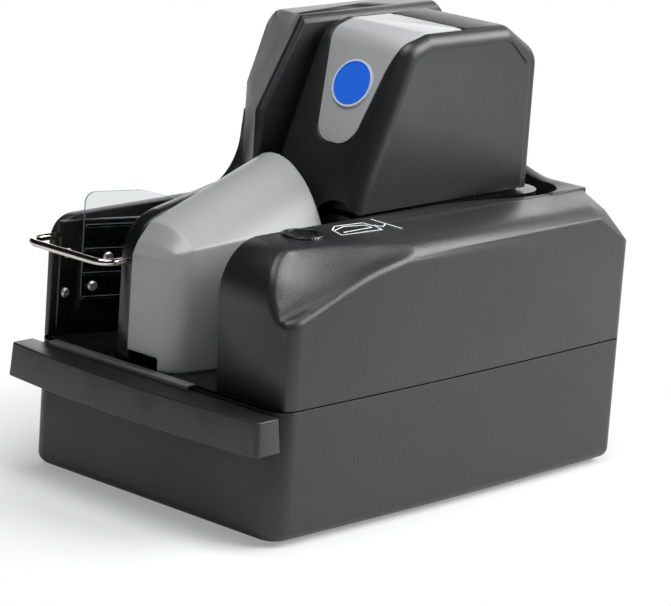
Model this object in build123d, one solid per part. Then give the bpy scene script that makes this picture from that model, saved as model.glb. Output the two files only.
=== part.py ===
"""Desktop cheque scanner: a boxed base, a sculpted upper housing and a U-shaped document track.

Documents stand on edge in the hopper at the front right, run back along the right leg of the
track, turn round the rear and come forward into the exit pocket at the front left.
Modelling frame in this file: X across (centred), Y back from the base's front face, Z up from
the base's underside.  place() then moves everything to the part's own origin, which is the
centre of the footprint on the table.
"""
from build123d import *
import math
import os

# ---- fits ----
FIT = 0.05                 # running fit, radial
CLEARANCE = 0.3            # between faces that must not touch

# ---- base ----
BASE_WIDTH = 190.0
BASE_DEPTH = 282.0
BASE_HEIGHT = 71.0         # parting line between base and upper housing
BASE_WALL = 3.0
BASE_EDGE = 6.0            # rounding round the underside
SIDE_BOW = 2.5             # how far each long side bulges in plan
FRONT_CORNER = 13.0
REAR_CORNER = 8.0
FOOT_HEIGHT = 2.5
FOOT_RADIUS = 7.0
FOOT_INSET = 20.0
DECK_THICKNESS = 2.5
LEDGE_DEPTH = 3.0
LEDGE_WIDTH = 2.5
SHAFT_HOLE_MARGIN = 2.0    # the deck's shaft holes are this much larger in radius
STRIP_THICKNESS = 1.2      # polished strip along the floor's front edge
STRIP_REACH = 5.0
STRIP_DEPTH = 1.5
STRIP_SIDE_GAP = 11.0
STRIP_PAST_GUIDE = 22.0

# ---- front tray ----
TRAY_HEIGHT = 18.5
TRAY_DROP = 1.5            # tray top below the parting line
TRAY_REACH = 24.0          # lip's middle ahead of the base
TRAY_END_REACH = 17.5
TRAY_CORNER = 3.5
TRAY_DRAFT = 4.0           # degrees the lip narrows towards its top
TRAY_LIP_EDGE = 0.8
TRAY_SIDE_INSET = 1.0      # lip's ends inside the base's widest line
TRAY_PLATE_DROP = 1.0      # plate below the deck
TRAY_PLATE_THICKNESS = 3.0
TRAY_TRAVEL = 45.0
TRAY_GRIP = 25.0           # plate still in the runners when the tray is out
TRAY_PLATE_LENGTH = TRAY_TRAVEL + TRAY_GRIP
TRAY_PLATE_INSET = 15.0    # plate's sides inside the base's widest line
RUNNER_FRONT = 15.0        # runners start this far behind the base's front wall
RUNNER_GRIP = 4.0          # how far each runner reaches over the plate

# ---- upper housing ----
HOUSING_WALL = 3.0
HOUSING_FRONT = 5.0        # front faces of the upper housing, back from the base's front
COVER_HEIGHT = 80.0        # right-hand cover above the parting line
COVER_WIDTH = 54.0         # right-hand cover, across X
COVER_BULGE = 2.5          # how far the cover's nose leans out below its top
COVER_FALL = 2.0           # how much lower the cover's top is at its outer edge
COVER_EDGE = 13.0          # rounding between the cover's top and side
NOSE_DROP = 28.0           # nose's foremost line, below the cover's top
NOSE_RADIUS = 20.0
BROW_RADIUS = 27.0         # rounding between the nose and the top
BROW_SETBACK = 1.0
COVER_REAR_DRAFT = 2.0     # cover's rear leans in this much by its top
COVER_REAR_EDGE = 6.0
REAR_SLOPE_DROP = 9.0      # sloped rear corner: a point on it, below the cover's top
REAR_SLOPE_START = 2.0     # and behind the island tower
REAR_SLOPE_NORMAL = (0.486, 0.466, 0.739)
SHOULDER_EDGE = 5.0        # rounding round the sunken shoulder
HOLLOW_FRONT = 20.0        # hollow inside the cover starts this far behind the base's front
REAR_HOLLOW_END = 28.0     # hollow beside the turn, ahead of the base's rear
REAR_HOLLOW_DROP = 14.0    # and below the cover's top
SHOULDER_DEPTH = 40.0      # solid left under the cover's top, over the hollow inside
LEFT_WALL_WIDTH = 8.0
LEFT_WALL_HEIGHT = 66.0
LEFT_WALL_NOSE = 18.0      # rounding of its front top corner
LEFT_WALL_SWEEP = 32.0     # hollow rounding where it rises to the far tower
SWEEP_AHEAD = 6.0          # that rounding's middle, ahead of the tower's outer front edge
SWEEP_RISE = 30.0          # how far it climbs above the cover's top
SWEEP_OVERLAP = 14.0       # how far the wall runs on into the tower
HOPPER_LENGTH = 101.0      # base front to the island tower
TRACK_GAP = 4.0
TURN_WALL = 10.0           # housing behind the track's turn
TURN_FLARE = 13.0          # the turn is this much wider on the right than the straight leg
TURN_RUN = 70.0            # the right leg starts to flare this far ahead of the tower's rear
TURN_RADIUS = 20.0
THROAT_DROP = 2.0          # top of the way out to the pocket, below the cover's top
THROAT_LENGTH = 35.0
FIN_RISE = 45.0            # fin behind the turn, where it meets the far tower
FIN_SAG = 31.0             # how far its middle hangs below that
FIN_START = 8.0            # its low end, right of the track's inner line
FIN_HOLLOW = 14.0          # its lowest part is this far left of its middle
LEG_SWEEP = 90.0           # radius where the right leg starts to flare

# ---- towers ----
REAR_SPACE = 32.0          # island tower's rear to the base's rear
ISLAND_WIDTH = 66.0
ISLAND_STEP = 5.0          # the island's foot is this much narrower than its tower
TOWER_RISE = 95.5          # island tower above the cover's top
TOWER_GAP = 1.2            # shadow gap under the tower
TOWER_LEAN = 0.425         # run back per unit of height
TOWER_EDGE = 8.0           # rounding of the tower's right-hand edges
TOWER_LEFT_EDGE = 4.0
# its side profile: front knee, start of the top, and rear slope
KNEE_DROP = 5.0
KNEE_RADIUS = 14.0
TOP_START = 17.0           # start of the level top, behind the knee
TOP_START_RADIUS = 12.0
REAR_FALL_LENGTH = 27.0
REAR_FALL_HEIGHT = 17.0
REAR_FALL_TOP = 0.5        # how much the top has fallen where the rear slope starts
REAR_FALL_RADIUS = 10.0
REAR_FOOT_RADIUS = 14.0
PANEL_BAND = 8.5           # raised band round the tower's right-hand panel
PANEL_DEPTH = 0.8
ARCH_HEIGHT = 6.0          # low arch in the tower's front, over the way in
ARCH_WIDTH = 26.0
ARCH_DEPTH = 8.0
LEDGE_BEHIND_TRACK = 11.0  # open width of the track's turn
FAR_TOWER_RISE = 97.0      # left-hand tower above the cover's top, at its inner edge
FAR_TOWER_FALL = 9.0       # how much lower that tower is at its outer edge
FAR_TOWER_LEAD = 6.0       # its front, ahead of the island tower's
FAR_TOWER_SLANT = 0.92     # its front runs back this much per unit to the left
FAR_TOWER_SHOULDER = 46.0  # height above the cover where it starts to lean in
FAR_TOWER_LEAN = 34.0      # how far its front leans back from there to the top
FAR_TOWER_REAR_LEAN = 44.0
FAR_TOWER_CORNER = 10.0    # rounding of its outer front and rear corners
FAR_TOWER_REAR_CORNER = 14.0
FAR_TOWER_CAP = 30.0       # rounding of its top left corner
FAR_TOWER_CAP_RIGHT = 5.0
FAR_TOWER_NARROWS = 4.0    # its left face comes in this much by the top
FAR_TOWER_UNSLANT = 18.0   # its front is this much less slanted at the top

# ---- access door ----
DOOR_THICKNESS = 2.6
DOOR_GAP = 0.5
DOOR_RIM = 3.0             # seat left round the bay under the door
DOOR_LENGTH_ON_TOP = 52.0
DOOR_FROM_RIGHT = 30.0     # middle of the door's tip, in from the tower's right face
DOOR_TIP_RISE = 34.7       # door's lower tip above the cover's top
DOOR_TIP_LEFT = 13.5       # tip's corners, left and right of its middle
DOOR_TIP_RIGHT = 11.0
DOOR_TIP_RADIUS = 12.0
DOOR_KNEE = 18.0           # bend in the door's right edge, right of the tip's middle
DOOR_KNEE_RISE = 42.3
DOOR_KNEE_RADIUS = 40.0
DOOR_TOP_LEFT = 29.0       # door's sides on the tower's top
DOOR_TOP_RIGHT = 24.0
DOOR_TOP_START = 36.0      # where the tower's top starts, behind its foot
PIN_RADIUS = 1.2
PIN_LENGTH = 56.0
KNUCKLE_RADIUS = DOOR_THICKNESS
KNUCKLE_LENGTH = 44.0
BADGE_RADIUS = 13.4
BADGE_HEIGHT = 0.8
BADGE_RISE = 31.2          # badge's centre above the door's tip
BADGE_RIM = 1.2
BADGE_RIM_HEIGHT = 0.4
BAY_FROM_RIGHT = 16.0      # bay's right side, in from the tower's right face
BAY_WIDTH = 36.0
BAY_LENGTH = 56.0
BAY_FRONT_WALL = 26.0      # bay's foot behind the tower's front
CARTRIDGE_HEIGHT = 60.0
CARTRIDGE_GAP = 4.0
HOLDER_HEIGHT = 14.0
HOLDER_WALL = 2.0
BAY_ROOF = 3.0             # bay's top below the tower's
BAY_LEAN = 20.0            # its front leans back this much from the door's tip to its top
PLUG_HEIGHT = 2.0          # plug under the tower, resting on the island core
PLUG_FRONT = 12.0
PLUG_REAR = 4.0

# ---- hopper guide and pocket ----
GUIDE_THICKNESS = 2.5
GUIDE_WIDTH = 32.0         # grey guide, across X at the front
GUIDE_HEIGHT = 106.0
GUIDE_FLARE = 16.0         # it is this much wider at the tower
GUIDE_CORNER = 17.0
GUIDE_REAR_GAP = 3.0
GUIDE_FOOT_STEP = 7.5
ISLAND_WALL_WIDTH = 9.0
ISLAND_WALL_HEIGHT = 81.0
ISLAND_WALL_NOSE = 24.0    # rounding of its front top corner
ISLAND_WALL_NOSE_DROP = 8.0
ISLAND_WALL_BEND = 20.0    # bend in its top behind the front, and its rounding
ISLAND_WALL_RISE = 14.0    # its top climbs this much to the tower
LINER_THICKNESS = 3.0
LINER_DROP = 2.0           # liner's top below the left wall's
PLATE_FRONT = 22.0
PLATE_ANGLE = 21.0
PLATE_OFFSET = 5.0         # plate's front end, in from the left wall
PLATE_THICKNESS = 1.5
PLATE_LENGTH = 60.0
PLATE_RISE = 19.5          # clear plate's lower edge above the deck
PLATE_HEIGHT = 60.0
PLATE_CREST = 0.55         # share of its length where its top corner starts to slope
PLATE_SLOPE = 7.0
PLATE_CORNERS = (1.0, 2.0, 8.0, 6.0)     # lower, rear, crest and front
PLATE_RIB_PITCH = 13.4
PLATE_RIB_COUNT = 4
PLATE_RIB_WIDTH = 1.6
PLATE_RIB_HEIGHT = 0.6
WIRE_DIAMETER = 4.0
WIRE_REACH = 12.5          # wire's front run ahead of the base
WIRE_HEIGHT = 55.0         # wire's centre above the deck
WIRE_BEND = 9.0
WIRE_DEPTH = 66.0          # how far the legs run back into the walls
WIRE_IN_WALL = 2.9         # left leg's centre, out from the pocket's face
FLAG_PIVOT_Y = 52.0
FLAG_SLEEVE = 2.4
FLAG_PIN_RADIUS = 1.25
FLAG_HEIGHT = 36.0
FLAG_LENGTH = 36.0
FLAG_RISE = 4.0
FLAG_PAD_LENGTH = 10.0

# ---- power button ----
BUTTON_RADIUS = 8.6
BEZEL_RADIUS = 11.0
BEZEL_DEPTH = 3.5
BEZEL_PROUD = 0.6
BUTTON_FROM_COVER_EDGE = 10.4
BUTTON_FROM_FRONT = 51.7
BUTTON_CAP = 6.0
BUTTON_FLANGE = 0.8
BUTTON_DISH = 1.0
STEM_RADIUS = 3.0
STEM_LENGTH = 6.0
BUTTON_STROKE = 1.5
SWITCH_SIDE = 12.0
SWITCH_HEIGHT = 6.0
BOARD_THICKNESS = 1.6

# ---- rollers, heads and drive ----
ROLLER_RADIUS = 9.0
PINCH_RADIUS = 6.0
PICK_RADIUS = 10.0
HUB_DEPTH = 3.0            # tyre thickness on its hub
NIP_GAP = 0.3
ROLLER_PROUD = 0.8         # how far rollers stand out of the track's walls
ROLLER_ROOM = 0.8          # free space round a roller
ROLLER_RISE = 12.0         # above the deck
ROLLER_COVER = 16.0        # below the cover's top
BEARING_LENGTH = 8.0
SHAFT_RADIUS = 2.0
PINCH_SHAFT_RADIUS = 1.5
NIP_BACK = 40.0            # nips behind the tower's front
PICK_AHEAD = 13.0          # pick roller ahead of the tower's front
TYRE_HEIGHT = 14.0
TYRE_COUNT = 3
PULLEY_RADIUS = 7.0
FLANGE_HEIGHT = 2.0
BELT_THICKNESS = 1.4
BELT_WIDTH = 6.0
BELT_DROP = 8.5            # upper belt's centre below the deck
BELT_STEP = 11.0           # between the two belts
MOTOR_SIDE = 42.0
MOTOR_HEIGHT = 41.0
MOTOR_CORNER = 4.0
MOTOR_BOSS_RADIUS = 11.0
MOTOR_BOSS_HEIGHT = 2.0
MOTOR_FROM_COVER_EDGE = 8.0
MOTOR_FROM_TURN = 55.0
SHAFT_IN_MOTOR = 10.0
PICK_MOTOR_RADIUS = 17.5
PICK_MOTOR_HEIGHT = 36.0
PICK_MOTOR_DROP = 10.5     # its top below the deck
SCAN_BACK = 66.0           # scan modules behind the tower's front
SCAN_WIDTH = 14.0
SCAN_DEPTH = 12.0
SCAN_DROP = 6.0            # their tops below the cover's top
GLASS_WIDTH = 6.0
GLASS_DEPTH = 0.8
GLASS_END = 3.0
MAGNET_BACK = 22.0
MAGNET_WIDTH = 10.0
MAGNET_HEIGHT = 22.0
MAGNET_GAP = 0.2

# ---- electronics and screws ----
BOARD_WIDTH = 90.0
BOARD_LENGTH = 102.0
BOARD_BOTTOM = 9.0
BOARD_SIDE_GAP = 10.0      # board's left edge inside the base's widest line
BOARD_REAR_GAP = 4.0
BOARD_POST_INSET = 7.0
POST_RADIUS = 3.5
CONNECTOR_DEPTH = 14.0
CONNECTOR_RECESS = 0.5
CONNECTOR_WALL = 1.5
SOCKET_DEPTH = 9.0
# each connector: its centre in from the board's left edge, width and height
CONNECTORS = ((23.0, 9.0, 11.0), (47.0, 12.0, 11.0))
SCREW_HEAD_RADIUS = 3.5
SCREW_HEAD_HEIGHT = 2.2
SCREW_SHANK_RADIUS = 1.6
SCREW_SOCKET_RADIUS = 1.4
SCREW_WELL = 5.0
SCREW_LENGTH = 12.0
SCREW_SETBACK = 14.0
SCREW_BOSS = 2.5
PLATE_SCREWS = ((6.4, 7.5), (14.9, 23.5))       # along and up the clear plate
WALL_SCREWS = ((12.5, 24.0), (13.0, 46.0))      # back from the base's front, up from the deck

# ---- derived places ----
HALF = BASE_WIDTH / 2
DECK_TOP = BASE_HEIGHT
DECK_BOTTOM = DECK_TOP - DECK_THICKNESS
COVER_TOP = DECK_TOP + COVER_HEIGHT
TOWER_TOP = COVER_TOP + TOWER_RISE
TOWER_BOTTOM = COVER_TOP + TOWER_GAP
FAR_TOWER_TOP = COVER_TOP + FAR_TOWER_RISE
SKY = TOWER_TOP + COVER_HEIGHT
COVER_INNER = HALF - COVER_WIDTH
LEFT_INNER = -HALF + LEFT_WALL_WIDTH
ISLAND_RIGHT = COVER_INNER + 1.0
ISLAND_FOOT_RIGHT = ISLAND_RIGHT - ISLAND_STEP
ISLAND_LEFT = ISLAND_RIGHT - ISLAND_WIDTH
FAR_TOWER_RIGHT = ISLAND_LEFT - TRACK_GAP
TOWER_FRONT = HOPPER_LENGTH
TOWER_REAR = BASE_DEPTH - REAR_SPACE
TURN_REAR = BASE_DEPTH - TURN_WALL
TURN_RIGHT = COVER_INNER + TURN_FLARE
TURN_START = TOWER_REAR - TURN_RUN
FAR_TOWER_FRONT = HOPPER_LENGTH - FAR_TOWER_LEAD
FAR_TOWER_REAR = BASE_DEPTH - 1.0
WALL_LEFT = ISLAND_LEFT - ISLAND_WALL_WIDTH
GUIDE_RIGHT = ISLAND_LEFT + GUIDE_WIDTH
GUIDE_FRONT = HOUSING_FRONT - GUIDE_THICKNESS
GUIDE_REAR = TOWER_FRONT - GUIDE_REAR_GAP
TRAY_TOP = BASE_HEIGHT - TRAY_DROP
TRAY_PLATE_TOP = DECK_BOTTOM - TRAY_PLATE_DROP
TRAY_PLATE_BOTTOM = TRAY_PLATE_TOP - TRAY_PLATE_THICKNESS
PLAN_CENTRE = (BASE_DEPTH - TRAY_REACH) / 2
DOOR_TIP_Z = COVER_TOP + DOOR_TIP_RISE
DOOR_TIP_X = ISLAND_RIGHT - DOOR_FROM_RIGHT
DOOR_LEFT = DOOR_TIP_X - DOOR_TOP_LEFT
DOOR_RIGHT = DOOR_TIP_X + DOOR_TOP_RIGHT
DOOR_CENTRE_X = (DOOR_LEFT + DOOR_RIGHT) / 2
DOOR_REAR = TOWER_FRONT + DOOR_TOP_START + DOOR_LENGTH_ON_TOP
BAY_RIGHT = ISLAND_RIGHT - BAY_FROM_RIGHT
BAY_LEFT = BAY_RIGHT - BAY_WIDTH
HINGE_Y = DOOR_REAR - KNUCKLE_RADIUS
HINGE_Z = TOWER_TOP - KNUCKLE_RADIUS
BAY_FRONT = TOWER_FRONT + BAY_FRONT_WALL
BAY_REAR = BAY_FRONT + BAY_LENGTH
BUTTON_X = COVER_INNER + BUTTON_FROM_COVER_EDGE
BUTTON_Y = BUTTON_FROM_FRONT
NIP_Y = TOWER_FRONT + NIP_BACK
ENTRY_PLACE = (ISLAND_FOOT_RIGHT + ROLLER_PROUD - ROLLER_RADIUS, NIP_Y)
EXIT_PLACE = (ISLAND_LEFT - ROLLER_PROUD + ROLLER_RADIUS, NIP_Y)
ENTRY_PINCH_PLACE = (ENTRY_PLACE[0] + ROLLER_RADIUS + NIP_GAP + PINCH_RADIUS, NIP_Y)
EXIT_PINCH_PLACE = (EXIT_PLACE[0] - ROLLER_RADIUS - NIP_GAP - PINCH_RADIUS, NIP_Y)
PICK_PLACE = (COVER_INNER - ROLLER_PROUD + PICK_RADIUS, TOWER_FRONT - PICK_AHEAD)
ROLLER_BOTTOM = DECK_TOP + ROLLER_RISE
ROLLER_TOP = COVER_TOP - ROLLER_COVER
SHAFT_TOP = ROLLER_TOP + BEARING_LENGTH
BELT_HIGH = DECK_BOTTOM - BELT_DROP
BELT_LOW = BELT_HIGH - BELT_STEP
MOTOR_PLACE = (COVER_INNER + MOTOR_FROM_COVER_EDGE, TURN_REAR - MOTOR_FROM_TURN)
MOTOR_TOP = BASE_WALL + MOTOR_HEIGHT
PICK_MOTOR_TOP = DECK_BOTTOM - PICK_MOTOR_DROP
SCAN_Y = TOWER_FRONT + SCAN_BACK
SCAN_TOP = COVER_TOP - SCAN_DROP
MAGNET_Y = TOWER_FRONT + MAGNET_BACK
WIRE_LEFT_X = LEFT_INNER - WIRE_IN_WALL
WIRE_RIGHT_X = ISLAND_LEFT - ISLAND_WALL_WIDTH / 2
WIRE_Z = DECK_TOP + WIRE_HEIGHT
PLATE_START = (LEFT_INNER + PLATE_OFFSET, PLATE_FRONT)
PLATE_TURN = math.radians(PLATE_ANGLE)
BOARD_TOP = BOARD_BOTTOM + BOARD_THICKNESS
BOARD_LEFT = -HALF + BOARD_SIDE_GAP
BOARD_RIGHT = BOARD_LEFT + BOARD_WIDTH
BOARD_REAR = BASE_DEPTH - BASE_WALL - BOARD_REAR_GAP
BOARD_FRONT = BOARD_REAR - BOARD_LENGTH
BOARD_POSTS = [(x, y) for x in (BOARD_LEFT + BOARD_POST_INSET, BOARD_RIGHT - BOARD_POST_INSET)
               for y in (BOARD_FRONT + BOARD_POST_INSET, BOARD_REAR - BOARD_POST_INSET)]
SCREW_ROWS = (TOWER_FRONT + 1.0, BOARD_FRONT - SCREW_SETBACK)
SCREW_PLACES = [(side * (HALF - SCREW_SETBACK), y) for side in (-1, 1) for y in SCREW_ROWS]


# ---- helpers ----
def rounded_polygon(corners):
    """Face from corners given as (u, v, radius)."""
    face = make_face(Polyline(*[(u, v) for u, v, _ in corners], close=True))
    for u, v, radius in corners:
        if radius:
            face = fillet(face.vertices().sort_by_distance((u, v, 0))[0], radius)
    return face


def plan_prism(face, bottom, top):
    """Plan outline raised from bottom to top."""
    return extrude(Pos(0, 0, bottom) * face, top - bottom)


def side_prism(face, left, right):
    """Side profile, drawn as (y, z), stretched across X."""
    return extrude(Plane.YZ.offset(left) * face, right - left)


def front_prism(face, near, far):
    """Front profile, drawn as (x, z), stretched back along Y."""
    return extrude(Plane.XZ.offset(-near) * face, near - far)


def block(x0, x1, y0, y1, z0, z1):
    """Box between two corners, given in either order across X."""
    centre = Pos((x0 + x1) / 2, (y0 + y1) / 2, (z0 + z1) / 2)
    return centre * Box(abs(x1 - x0), y1 - y0, z1 - z0)


def post(x, y, radius, bottom, top):
    """Upright cylinder."""
    return Pos(x, y, (bottom + top) / 2) * Cylinder(radius, top - bottom)


def beyond(point, normal):
    """Everything on the outer side of a plane."""
    size = 3 * BASE_DEPTH
    corner = (Align.CENTER, Align.CENTER, Align.MIN)
    return Plane(origin=point, z_dir=normal) * Box(size, size, size, align=corner)


def bowed_outline(inset):
    """Base outline in plan: bulging sides and rounded corners."""
    widest = HALF - inset
    corner = widest - SIDE_BOW
    near = inset
    far = BASE_DEPTH - inset
    edges = [
        Line((-corner, near), (corner, near)),
        ThreePointArc((corner, near), (widest, BASE_DEPTH / 2), (corner, far)),
        Line((corner, far), (-corner, far)),
        ThreePointArc((-corner, far), (-widest, BASE_DEPTH / 2), (-corner, near)),
    ]
    face = make_face(edges)
    face = fillet(face.vertices().group_by(Axis.Y)[0], FRONT_CORNER - inset)
    return fillet(face.vertices().group_by(Axis.Y)[-1], REAR_CORNER - inset)


# ---- base ----
def base_housing():
    """Open-topped tub with the tray slot, connector holes and screw wells."""
    tub = plan_prism(bowed_outline(0), 0, BASE_HEIGHT)
    tub = fillet(tub.edges().group_by(Axis.Z)[0], BASE_EDGE)
    tub -= plan_prism(bowed_outline(BASE_WALL), BASE_WALL, BASE_HEIGHT)
    tub += deck_ledge()
    tub -= tray_slot()
    for offset, width, height in CONNECTORS:
        half = width / 2 + CLEARANCE
        x = BOARD_LEFT + offset
        tub -= block(x - half, x + half, BASE_DEPTH - 2 * BASE_WALL, BASE_DEPTH + 1,
                     BOARD_TOP, BOARD_TOP + height + CLEARANCE)
    for x, y in SCREW_PLACES:
        tub += post(x, y, SCREW_HEAD_RADIUS + SCREW_BOSS, BASE_WALL, DECK_BOTTOM)
        tub -= post(x, y, SCREW_HEAD_RADIUS + FIT, -1, SCREW_WELL)
        tub -= post(x, y, SCREW_SHANK_RADIUS + FIT, 0, SCREW_WELL + SCREW_LENGTH + 1)
    for x, y in BOARD_POSTS:
        tub += post(x, y, POST_RADIUS, BASE_WALL, BOARD_BOTTOM)
    return tub


def deck_ledge():
    """Rim inside the tub that carries the deck, left out behind the front wall."""
    bottom = DECK_BOTTOM - LEDGE_DEPTH
    ring = plan_prism(bowed_outline(BASE_WALL), bottom, DECK_BOTTOM)
    hole = plan_prism(bowed_outline(BASE_WALL + LEDGE_WIDTH), bottom, DECK_BOTTOM)
    keep_clear = block(-HALF, HALF, -1, BASE_WALL + 2 * LEDGE_WIDTH, 0, BASE_HEIGHT)
    return ring - hole - keep_clear


def tray_slot():
    """Opening in the tub's front wall that the tray plate slides through."""
    half = HALF - TRAY_PLATE_INSET + CLEARANCE
    return block(-half, half, -1, FRONT_CORNER, TRAY_PLATE_BOTTOM - CLEARANCE,
                 TRAY_PLATE_TOP + CLEARANCE)


def rubber_feet():
    """Four round rubber feet."""
    solids = []
    for x in (FOOT_INSET - HALF, HALF - FOOT_INSET):
        for y in (FOOT_INSET, BASE_DEPTH - FOOT_INSET):
            foot = post(x, y, FOOT_RADIUS, -FOOT_HEIGHT, 0)
            solids.append(chamfer(foot.edges().group_by(Axis.Z)[0], FOOT_HEIGHT / 4))
    return solids


def housing_screws():
    """Screws up through the base's wells into the bosses, heads sunk."""
    solids = []
    bottom = SCREW_WELL - SCREW_HEAD_HEIGHT
    for x, y in SCREW_PLACES:
        screw = post(x, y, SCREW_HEAD_RADIUS, bottom, SCREW_WELL)
        screw += post(x, y, SCREW_SHANK_RADIUS, SCREW_WELL, SCREW_WELL + SCREW_LENGTH)
        solids.append(screw - post(x, y, SCREW_SOCKET_RADIUS, bottom - 1, bottom + 1))
    return solids


def track_deck():
    """Floor of the track, hopper and pocket, with holes for the shafts."""
    deck = plan_prism(bowed_outline(BASE_WALL + CLEARANCE), DECK_BOTTOM, DECK_TOP)
    for x, y in (PICK_PLACE, ENTRY_PLACE, EXIT_PLACE):
        deck -= post(x, y, SHAFT_RADIUS + SHAFT_HOLE_MARGIN, DECK_BOTTOM - 1, DECK_TOP + 1)
    return deck


def floor_strip():
    """Polished strip along the front edge of the pocket and hopper floor."""
    left = LEFT_INNER + STRIP_SIDE_GAP
    right = GUIDE_RIGHT + STRIP_PAST_GUIDE
    top = DECK_TOP + STRIP_THICKNESS
    strip = block(left, right, -STRIP_REACH, STRIP_DEPTH, DECK_TOP, top)
    strip += block(left, right, -STRIP_REACH, STRIP_THICKNESS - STRIP_REACH,
                   TRAY_TOP + CLEARANCE, top)
    return fillet(strip.edges().filter_by(Axis.X).group_by(Axis.Z)[-1], STRIP_THICKNESS / 2.5)


# ---- front tray ----
def front_tray():
    """Pull-out tray: a curved lip wrapped on the base's front and a flat plate behind it."""
    end = HALF - TRAY_SIDE_INSET
    lip_bottom = TRAY_TOP - TRAY_HEIGHT
    face = make_face([
        Line((-end, 0), (-end, -TRAY_END_REACH)),
        ThreePointArc((-end, -TRAY_END_REACH), (0, -TRAY_REACH), (end, -TRAY_END_REACH)),
        Line((end, -TRAY_END_REACH), (end, 0)),
        Line((end, 0), (-end, 0)),
    ])
    face = fillet(face.vertices().group_by(Axis.Y)[0], TRAY_CORNER)
    lip = extrude(Pos(0, 0, lip_bottom) * face, TRAY_HEIGHT, taper=TRAY_DRAFT)
    lip -= plan_prism(bowed_outline(-CLEARANCE), 0, BASE_HEIGHT)
    lip = fillet(lip.edges().group_by(Axis.Z)[-1].sort_by(Axis.Y)[0], TRAY_LIP_EDGE)
    half = HALF - TRAY_PLATE_INSET
    plate = block(-half, half, -2 * TRAY_PLATE_THICKNESS, TRAY_PLATE_LENGTH, TRAY_PLATE_BOTTOM,
                  TRAY_PLATE_TOP)
    wall = TRAY_PLATE_THICKNESS
    finger = block(2 * wall - half, half - 2 * wall, wall - TRAY_END_REACH, -CLEARANCE - wall,
                   lip_bottom - 1, TRAY_PLATE_BOTTOM - wall)
    return lip + plate - finger


def tray_runners():
    """Two grooved rails inside the base that carry the tray plate's edges."""
    solids = []
    for side in (-1, 1):
        edge = side * (HALF - TRAY_PLATE_INSET)
        inner = edge - side * RUNNER_GRIP
        outer = side * (HALF - 2 * BASE_WALL - SIDE_BOW)
        front = BASE_WALL + RUNNER_FRONT
        rail = block(inner, outer, front, TRAY_PLATE_LENGTH + front, TRAY_PLATE_BOTTOM - 3 * FIT
                     - TRAY_PLATE_THICKNESS, DECK_BOTTOM)
        rail -= block(inner - side, edge + side * FIT, 0, TRAY_PLATE_LENGTH + CLEARANCE,
                      TRAY_PLATE_BOTTOM - FIT, TRAY_PLATE_TOP + FIT)
        solids.append(rail)
    return solids


# ---- upper housing ----
def track_loop():
    """Plan of the opening that the island stands in: its edge is the track's outer wall."""
    front = PICK_PLACE[1]
    return rounded_polygon([
        (FAR_TOWER_RIGHT, front, 0), (COVER_INNER, front, 0), (COVER_INNER, TURN_START, LEG_SWEEP),
        (TURN_RIGHT, TURN_REAR - 1.8 * TURN_RADIUS, 2 * TURN_RADIUS),
        (TURN_RIGHT, TURN_REAR, TURN_RADIUS), (FAR_TOWER_RIGHT, TURN_REAR, TURN_RADIUS)])


def front_well():
    """Plan of the space open to the front: hopper, guide and exit pocket."""
    near = -TRAY_REACH
    slant = FAR_TOWER_SLANT * (FAR_TOWER_RIGHT - LEFT_INNER)
    return make_face(Polyline(
        (LEFT_INNER, near), (COVER_INNER, near), (COVER_INNER, TOWER_FRONT + 5),
        (FAR_TOWER_RIGHT, TOWER_FRONT + 5), (FAR_TOWER_RIGHT, FAR_TOWER_FRONT),
        (LEFT_INNER, FAR_TOWER_FRONT + slant), close=True))


# the shoulder sunk in the cover's front corner, as upright sections: distance behind the base's
# front, then points (in from the base's widest line, down from the cover's top)
SHOULDER_STATIONS = (
    (-4.0, ((29, -1), (24, 8), (19.5, 19), (16, 29), (11.5, 35), (5, 34.5), (-2, 30.5), (-17, 23))),
    (15.0, ((29, -2), (23.5, 6.5), (18, 15), (14, 23), (9, 28.5), (4, 29.5), (-2, 27.5), (-17, 21))),
    (35.0, ((29, -4), (22.5, 4.5), (16, 11.5), (10.5, 17.5), (6, 21.5), (2, 22.8), (-2, 22.4),
            (-17, 17))),
    (60.0, ((27, -6), (19.5, 1.5), (13, 7.5), (8, 11.5), (4, 13.6), (1, 14.2), (-3, 13.8),
            (-17, 10))),
    (85.0, ((21, -9), (14, -1), (9, 4), (5, 7.5), (2, 9.2), (-1, 9.8), (-4, 9.7), (-17, 8))),
    (115.0, ((13, -13), (5, -3), (1, 1), (-2, 4), (-5, 5.5), (-8, 6.2), (-11, 6.5), (-17, 5))),
)


def shoulder():
    """Hollow cut into the cover's front corner, lofted through its sections."""
    sections = []
    for y, points in SHOULDER_STATIONS:
        curve = [Vector(HALF - across, y, COVER_TOP - down) for across, down in points]
        right = Vector(curve[-1].X, y, SKY)
        left = Vector(curve[0].X, y, SKY)
        sections.append(make_face([Spline(*curve), Line(curve[-1], right), Line(right, left),
                                   Line(left, curve[0])]))
    return loft(sections)


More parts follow.
